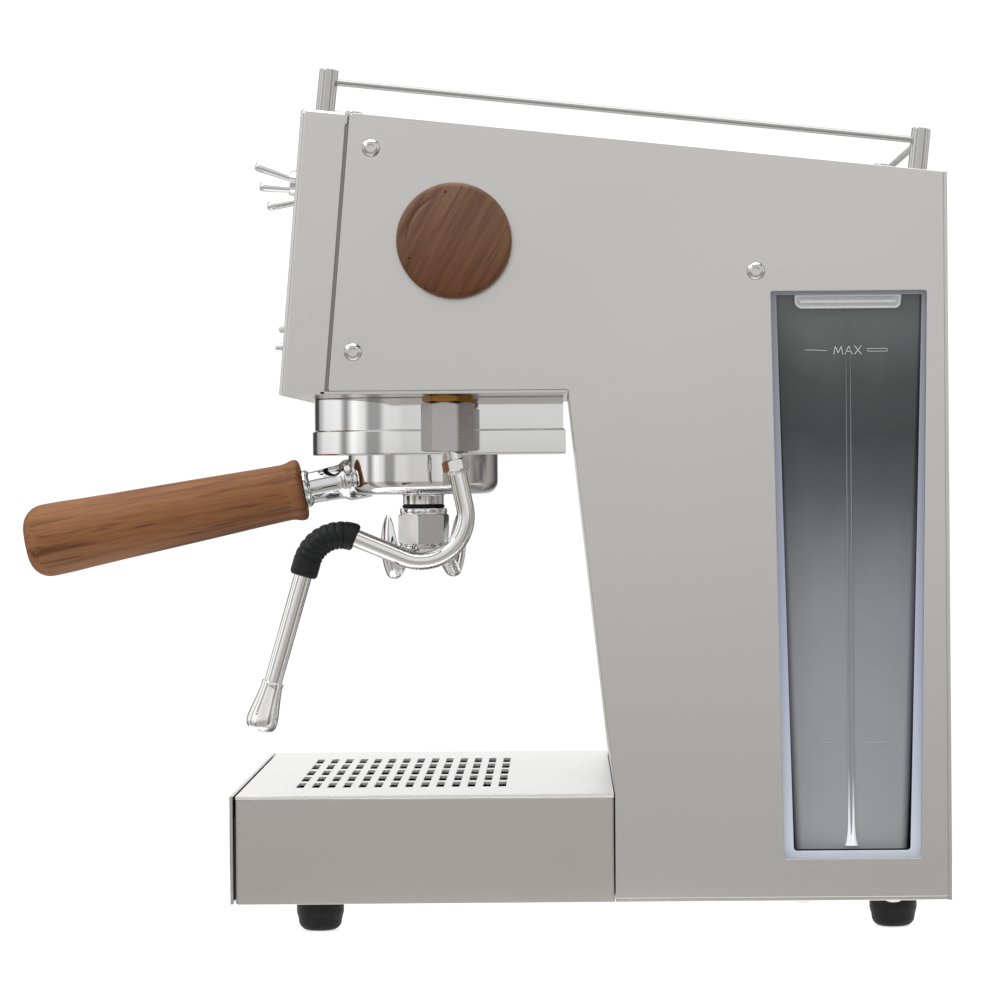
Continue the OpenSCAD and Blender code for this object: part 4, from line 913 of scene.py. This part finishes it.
NUT_AF, NUT_TURN, GLAND_H = 21.4, -8, 3.3
nut_z, gland_z = BALL_Z - 10.5, HEAD_Z - GLAND_H
nut = hex_bar(NUT_AF, gland_z - nut_z, place(WAND_X, WAND_Y, nut_z), NUT_TURN, 1.0, 7.8)
piece("wand_nut_steel", nut, "nut", "machine", "wand_nut", "wand_nut")
gland_at = place(WAND_X, WAND_Y, gland_z)
stem = lathe([(4.9, 3.0), (4.9, 10.4), (4.5, 10.8), (2.5, 10.8), (2.5, 3.0)], gland_at, 48)
gland = hex_bar(NUT_AF - 1, GLAND_H, gland_at, NUT_TURN, 0.6, 2.5)
piece("wand_gland_brass", join(gland, stem), "brass", "machine", "wand_gland", "wand_gland")

# ---------------------------------------------------------------- front controls
bush = [(3.05, -4), (5.7, -4), (6, -3.7), (6, 3.2), (6.7, 3.25), (6.7, 4.1), (6.4, 4.35), (5.75, 4.4),
        (5.75, 8.2), (5.4, 8.5), (5.1, 8.4), (4.5, 6.5), (3.05, 1.5), (3.05, -4)]
bushes = []
for x in TOGGLE_XS:
    toggle_at = front_point(x, TOGGLE_Z)
    bushes += [lathe(bush, toggle_at, 64, 35), hex_bar(14, 3.1, toggle_at, 8, 0.7, 5.9)]
piece("toggle_bushings_chrome", join(*bushes), "chrome", "machine", "toggle_bushings", "toggle_bushings")
lever = arc(0, 0, 3, -90, 62, 16) + [(1.55, 3.1), (1.6, 6), (1.75, 11), (1.95, 16), (2.15, 21), (2.22, 23.2),
                                     (2.1, 24.6), (1.7, 25.5), (1.0, 25.9), (0, 26)]
for name, x, throw in zip(("right", "middle", "left"), TOGGLE_XS[::-1], (THROW, 0, -THROW)):
    node = "toggle_lever_" + name
    mesh = lathe(lever, front_point(x, TOGGLE_Z) @ spin(-throw, "X"), 48, 50)
    piece(node + "_chrome", mesh, "chrome", "toggle_" + name, node, node)
button_at = front_point(BUTTON_X, BUTTON_Z)
housing = [(2.05, -11.6), (3.3, -12), (3.5, -11.6), (3.5, 0.1), (4.1, 0.1), (4.2, 0.4), (4.1, 0.9),
           (3.6, 1.0),
           (2.3, 1.0), (2.05, 0.8), (2.05, -11.6)]
piece("button_ring", lathe(housing, button_at, 48), "chrome", "machine", "button_housing", "button_housing")
cap = [(0, -5), (2, -5), (2, 4.1), (1.85, 4.45), (1.4, 4.6), (0, 4.65)]
piece("button_cap", lathe(cap, button_at, 48), "satin", "button", "push_button", "push_button")
lamp = [(0, -6), (1.5, -6), (1.5, 2.5)] + arc(0, 2.5, 1.5, 5, 85, 8) + [(0, 4)]
piece("status_lamp_lens", lathe(lamp, front_point(BUTTON_X, LAMP_Z), 32),
      "lamp", "machine", "status_lamp", "status_lamp")

# ---------------------------------------------------------------- pressure gauge
gauge_at = front_point(0, GAUGE_Z)
case = [(0, -12), (22.6, -12), (23, -11.6), (23, 0), (24.6, 0), (25, 0.2), (25, 0.6), (24.8, 0.8),
        (22.6, 0.8),
        (22.2, 0.5), (22, 0.0), (22, -2.2), (21, -2.3), (21, -7.6), (20.9, -8), (1.2, -8), (1.2, -10),
        (0, -10)]
piece("gauge_case_steel", lathe(case, gauge_at, 128), "chrome", "machine", "gauge_case", "gauge_case")
dial = [(1.4, -7.95), (1.4, -7.6), (20.6, -7.6), (20.8, -7.95)]
piece("gauge_dial", lathe(dial, gauge_at), "dial", "machine", "gauge_case")

# each figure by the letters of its seven strokes, from a at the top and clockwise, g across
FIGURES = {"0": "abcdef", "1": "bc", "2": "abged", "4": "fgbc", "6": "afgedc", "8": "abcdefg"}
STROKES = {"a": ((0, 2), (1, 2)), "b": ((1, 2), (1, 1)), "c": ((1, 1), (1, 0)), "d": ((0, 0), (1, 0)),
           "e": ((0, 0), (0, 1)), "f": ((0, 1), (0, 2)), "g": ((0, 1), (1, 1))}
DIAL_START, DIAL_SWEEP = 225, 270


def number(text, cx, cy, size, width):
    """Strokes of a number about a middle point."""
    lines, step = [], size * 0.42
    x = cx - (len(text) * step + (len(text) - 1) * size * 0.2) / 2
    for ch in text:
        for s in FIGURES[ch]:
            lines.append((*[(x + a * step, cy + (b - 1) * size / 2) for a, b in STROKES[s]], width))
        x += step + size * 0.2
    return lines


marks = []
for k in range(33):
    angle = DIAL_START - DIAL_SWEEP * k / 32
    inner = 16.6 if k % 4 == 0 else (17.6 if k % 2 == 0 else 18.4)
    marks.append((polar(inner, angle), polar(19.6, angle), 0.42 if k % 4 == 0 else 0.22))
    if k % 4 == 0:
        marks += number(str(k // 2), *polar(13.6, angle), 2.6, 0.38)
piece("gauge_marks", strokes(marks, gauge_at, -7.62, 0.08), "black", "machine", "gauge_case")
needle_at = gauge_at @ spin(DIAL_START, "Z")
half = [(-5, -1.1), (-4.2, -1.3), (0, -0.85), (16, -0.22)]
pointer = plate(half + [(x, -y) for x, y in reversed(half)], [], 0.6, needle_at @ up(-5.5), 0.08)
hub = [(0, -8.8), (1, -8.8), (1, -5.5), (2.3, -5.5), (2.6, -5.2), (2.6, -4.4), (2.2, -4.1), (0, -4.1)]
piece("gauge_pointer", join(pointer, lathe(hub, needle_at, 48)),
      "red", "needle", "gauge_needle", "gauge_needle")
lens = [(0, -2.2), (21.6, -2.2), (21.9, -1.9), (21.9, -0.7), (21.5, -0.3), (0, -0.2)]
piece("gauge_lens", lathe(lens, gauge_at), "lens", "machine", "gauge_glass", "gauge_glass")

# ---------------------------------------------------------------- cup rail
POST_R, POST_H, ROD_R, ROD_DROP = 4.2, 20.0, 1.5, 5.4
POST_X = HALF_W - 25
POST_YS = (front_at(BODY_H) + 9, HALF_D - 11)
TOP_N = Vector((0, math.sin(TOP_SLOPE), math.cos(TOP_SLOPE)))
post = [(2, -5), (2, 0), (POST_R - 0.3, 0), (POST_R, 0.3), (POST_R, POST_H - 0.5),
        (POST_R - 0.15, POST_H - 0.15),
        (POST_R - 0.5, POST_H), (0, POST_H)]
posts = [lathe(post, place(x, y, top_at(y), TOP_N), 64, 35) for x in (-POST_X, POST_X) for y in POST_YS]
piece("rail_posts_steel", join(*posts), "post", "machine", "rail_posts", "rail_posts")


def rod(*ends):
    """A straight rod between two (x, y) places, a little under the tops of the posts."""
    a, b = (Vector((x, y, top_at(y))) + TOP_N * (POST_H - ROD_DROP) for x, y in ends)
    return sweep([a, (a + b) / 2, b], ROD_R, place(0, 0, 0))


rods = [rod((x, POST_YS[0]), (x, POST_YS[1])) for x in (-POST_X, POST_X)]
rods.append(rod((-POST_X, POST_YS[1]), (POST_X, POST_YS[1])))
piece("rail_rods_steel", join(*rods), "rod", "machine", "rail_rods", "rail_rods")

# ---------------------------------------------------------------- feet
foot = [(0, 0.25), (4.2, 0.25), (4.6, 0.0)] + arc(5.1, 4.5, 4.5, -88, 0, 9)
foot += [(9.8, 5.6), (10.1, 6.6), (10.4, 7.8), (10.5, 8.6), (10.5, BASE_Z - 0.6), (10.2, BASE_Z),
         (2.5, BASE_Z),
         (2.5, BASE_TOP), (0, BASE_TOP)]
feet = [lathe(foot, place(x, y, 0), 72, 35) for x in (25 - HALF_W, HALF_W - 25)
        for y in (38 - HALF_D, HALF_D - 24)]
piece("rubber_feet", join(*feet), "foot", "machine", "feet", "feet")

# ---------------------------------------------------------------- water tank
TANK_X1 = HALF_W - SHEET - 4.5
TANK_X0 = TANK_X1 - 92
TANK_Y0, TANK_Y1 = WINDOW_Y - 37.1, min(WINDOW_Y + 37.1, BACK_Y - 3)
TANK_Z0, TANK_Z1 = WINDOW_Z0 + 3.5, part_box("water_tank")[1].z / MM
TANK_TAPER, FACE_TAPER = 12, 1.5  # how far in each side is at the foot
TANK_WALL = 2.5


def tank_share(z):
    return (z - TANK_Z0) / (TANK_Z1 - TANK_Z0)


def tank_face(z):
    """Where the side that shows in the window is."""
    return TANK_X1 - FACE_TAPER * (1 - tank_share(z))


def tank_edge(z, grow):
    """Front and back of the tank, each moved out by that much."""
    taper = TANK_TAPER * (1 - tank_share(z))
    return TANK_Y0 + taper - grow, TANK_Y1 - taper + grow


def tank_ring(z, wall):
    x0, x1 = TANK_X0 + TANK_TAPER * (1 - tank_share(z)) + wall, tank_face(z) - wall
    y0, y1 = tank_edge(z, -wall)
    r = max(0.8, 4 - wall)
    return [(p.x, p.y, z) for p in rounded([(x0, y0, r), (x1, y0, r), (x1, y1, r), (x0, y1, r)], steps=7)]


zs = [TANK_Z0 + (TANK_Z1 - TANK_Z0) * k / 12 for k in range(13)]
shell = [tank_ring(TANK_Z0, 1.5)] + [tank_ring(z, 0.0 if k else 0.35) for k, z in enumerate(zs)]
shell += [tank_ring(z, TANK_WALL) for z in [TANK_Z1] + zs[-2:0:-1] + [TANK_Z0 + TANK_WALL]]
piece("water_tank_shell", loft(shell, place(0, 0, 0), (True, True), 40), "tank", "machine", "water_tank",
      "water_tank")

# two ribs, flared at the foot and thinning towards the top; their white foot is a painted reflection of the
# light below, with a faint painted glow
RIB_OFF = 0.95
rib_levels = [TANK_Z0 + 1.5 + k for k in (0, 1.5, 3.5, 6, 10, 18, 70, 120, 170)] + [268.0]


def rib_r(k, share):
    return (1.0 - 0.75 * share) * 0.75 + 1.2 * math.exp(-(rib_levels[k] - rib_levels[0]) / 3.5)


for off, name in ((-RIB_OFF, "front"), (RIB_OFF, "rear")):
    pts = [(tank_face(z) + 0.1, WINDOW_Y + off, z) for z in rib_levels]
    piece("tank_rib_" + name, sweep(pts, rib_r, place(0, 0, 0), 16), "tank_rib", "machine", "water_tank")


def chain(width, *points):
    """Strokes from each point to the next."""
    return [(a, b, width) for a, b in zip(points, points[1:])]


def on_face(z, proud):
    """Matrix for marks on the tank's face at a height, X running back and Y up."""
    return place(tank_face(z) + proud, WINDOW_Y, z, (1, 0, 0), (0, 1, 0))


FULL_Z, LOW_Z, FINE, BOLD = 254.8, 82.5, 0.22, 0.3
dashes = chain(FINE, (-19, 0.2), (-9.5, -0.2))
dashes += chain(FINE, (8.6, 0.6), (17.2, 0.6), (17.2, -0.6), (8.6, -0.6), (8.6, 0.6))
dashes += chain(BOLD, (-6.3, -1.8), (-5.6, 1.8), (-4.4, -1.4), (-3.0, 1.8), (-2.4, -1.8))
dashes += chain(BOLD, (-1.4, -1.8), (0.3, 1.8), (1.8, -1.8)) + chain(BOLD, (-0.8, -0.6), (1.3, -0.6))
dashes += chain(BOLD, (2.9, 1.8), (5.8, -1.8)) + chain(BOLD, (5.8, 1.8), (2.9, -1.8))
piece("tank_level_marks", strokes(dashes, on_face(FULL_Z, 0.05), 0, 0.2), "mark", "machine", "water_tank")
faint = chain(0.5, (-14, 0), (-4, 0)) + chain(0.8, (6.5, 0), (15, 0))
piece("tank_low_marks", strokes(faint, on_face(LOW_Z, 0.02), 0, 0.12), "mark_faint", "machine", "water_tank")

# the white lip that the tank is lifted by
GRIP_Z = WINDOW_Z1 - 4.6
GRIP_X = TANK_X1 - 0.6
lip = rounded([(WINDOW_Y - 23.6, GRIP_Z + 3.2, 0.8), (WINDOW_Y - 23.2, GRIP_Z - 3, 3.2),
               (WINDOW_Y + 22.8, GRIP_Z - 3, 2.6), (WINDOW_Y + 23.6, GRIP_Z + 3.2, 0.8)])
inner_lip = rounded([(WINDOW_Y - 22.4, GRIP_Z + 2.2, 0.5), (WINDOW_Y - 22.0, GRIP_Z - 1.9, 2.2),
                     (WINDOW_Y + 21.8, GRIP_Z - 1.9, 1.8), (WINDOW_Y + 22.4, GRIP_Z + 2.2, 0.5)])
lip_at = side_matrix(GRIP_X)
bar = sweep([(2.3, WINDOW_Y + y, GRIP_Z + 0.2) for y in (-21, 0, 20.6)], 0.9, place(GRIP_X, 0, 0), 20)
grip = [plate(lip, [inner_lip], 2.6, lip_at, 0.5), plate(lip, [], 1.2, lip_at, 0.3), bar]
piece("tank_grip_lip", join(*grip), "white", "machine", "tank_grip", "tank_grip")

# the rim round the window, its brightness painted on: a glowing ramp, pale blue at the foot, that stands in for
# the tank's edges catching light
foot_y0, foot_y1 = tank_edge(TANK_Z0, 0.5)
rim_hole = rounded([(foot_y0, TANK_Z0 - 0.4, 1.5), (foot_y1, TANK_Z0 - 0.4, 1.5),
                    (WINDOW_Y + 32.3, 279.0, 0.5), (WINDOW_Y - 31.5, 279.0, 0.5)])
rim_out = rounded([(WINDOW_Y - 31.0, 28.5, 1.5), (WINDOW_Y + 31.0, 28.5, 1.5),
                   (WINDOW_Y + 37.9, 283, 1.5), (WINDOW_Y - 37.9, 283, 1.5)])
painted_light_rim = plate(rim_out, [rim_hole], 1.5, side_matrix(TANK_X1 + 1.0), 0.3)
piece("tank_lit_rim", painted_light_rim, "painted_light_rim", "machine", "water_tank")

# ---------------------------------------------------------------- studio
floor = bpy.data.meshes.new("floor")
bm = bmesh.new()
bmesh.ops.create_circle(bm, cap_ends=True, radius=1.0, segments=96)
bm.to_mesh(floor)
bm.free()
floor_ob = bpy.data.objects.new("floor", floor)
bpy.context.scene.collection.objects.link(floor_ob)
pale = Nodes("pale_floor", (0.93, 0.93, 0.93), 0.8)
pale.bump(pale.noise(pale.mapping(), 400), 0.02)
pale.bsdf.inputs["Emission Color"].default_value = (1, 1, 1, 1)
pale.bsdf.inputs["Emission Strength"].default_value = 0.7
floor_ob.data.materials.append(pale.mat)
floor_ob.location = (X0, Y0, -0.0002)
floor_ob.scale = (0.2, 0.3, 1)

# the room: bright walls with dark flags between the soft boxes, and a darker ground
world = bpy.data.worlds.new("studio")
bpy.context.scene.world = world
world.use_nodes = True
room = world.node_tree


def room_math(operation, *values):
    return wire(room, "ShaderNodeMath", dict(enumerate(values)), operation=operation).outputs[0]


def room_range(value, low, high):
    return wire(room, "ShaderNodeMapRange", {"Value": value, "From Min": low, "From Max": high}).outputs[0]


way = wire(room, "ShaderNodeTexCoord", {}).outputs["Generated"]
axes = wire(room, "ShaderNodeSeparateXYZ", {"Vector": way}).outputs
turn = room_math("ARCTAN2", room_math("ABSOLUTE", axes["Y"]), axes["X"])
turn = room_math("MULTIPLY", turn, 1 / math.pi)
rise = room_range(axes["Z"], -1.0, 1.0)
steep = room_range(room_math("ABSOLUTE", axes["Z"]), 0.42, 0.8)
walls = colour_ramp(room, turn, [
    (0.0, 0.44), (0.09, 0.43), (0.15, 0.49), (0.21, 0.5), (0.26, 0.22), (0.31, 0.22), (0.36, 0.55),
    (0.42, 0.7),
    (0.49, 0.2), (0.55, 0.6), (0.68, 0.55), (0.77, 0.3), (0.81, 0.04), (0.89, 0.04), (0.93, 0.5),
    (1.0, 0.5)], "EASE")
level = colour_ramp(room, rise, [
    (0.0, (0.55, 0.53, 0.50)), (0.40, (0.54, 0.52, 0.49)), (0.455, (0.62, 0.60, 0.57)),
    (0.485, (0.84, 0.83, 0.815)),
    (0.515, (0.96, 0.957, 0.95)), (0.58, (1.0, 1.0, 1.0)), (1.0, (1.0, 1.0, 1.0))], "EASE")
ceiling = colour_ramp(room, rise, [
    (0.0, 0.375), (0.12, 0.4), (0.2, 0.25), (0.30, 0.375), (0.70, 0.5), (0.78, 0.5), (0.82, 0.125),
    (0.87, 0.125),
    (0.91, 0.36), (1.0, 0.34)], "EASE")
tone = colour_mix(room, steep, colour_mix(room, 1.0, walls, level, "MULTIPLY"), ceiling)
lit = room.nodes["Background"]
room.links.new(tone, lit.inputs["Color"])
lit.inputs["Strength"].default_value = 2.0
seen = wire(room, "ShaderNodeBackground", {"Color": (1, 1, 1, 1), "Strength": 1.05})
is_seen = wire(room, "ShaderNodeLightPath", {}).outputs["Is Camera Ray"]
both = wire(room, "ShaderNodeMixShader", {0: is_seen, 1: lit.outputs[0], 2: seen.outputs[0]})
room.links.new(both.outputs[0], room.nodes["World Output"].inputs["Surface"])


def soft_light(name, away, size, power):
    """A round soft box, that far in metres from the machine's middle and aimed at it."""
    light = bpy.data.lights.new(name, "AREA")
    light.shape, light.size, light.energy = "DISK", size, power
    ob = bpy.data.objects.new(name, light)
    mid = at(0, 0, 180)
    ob.location = mid + Vector(away)
    ob.rotation_euler = (mid - ob.location).to_track_quat("-Z", "Y").to_euler()
    bpy.context.scene.collection.objects.link(ob)


soft_light("over", (0.1, -0.1, 1.5), 2.0, 17)
soft_light("key", (0.9, -1.2, 1.1), 0.7, 6)

cam = bpy.data.cameras.new("camera")
cam.lens, cam.sensor_width = 147.3, 36.0
cam.shift_x, cam.shift_y = -0.061, -0.039
cam.clip_start, cam.clip_end = 0.05, 50
cam_ob = bpy.data.objects.new("camera", cam)
cam_ob.location = at(1925, -11.8, 207)
look = Matrix(((0, 0, 1), (1, 0, 0), (0, 1, 0))).to_4x4()
cam_ob.rotation_euler = (look @ Matrix.Rotation(math.radians(-0.43), 4, "Z")).to_euler()
bpy.context.scene.collection.objects.link(cam_ob)
bpy.context.scene.camera = cam_ob
bpy.context.scene.view_settings.view_transform = "Standard"
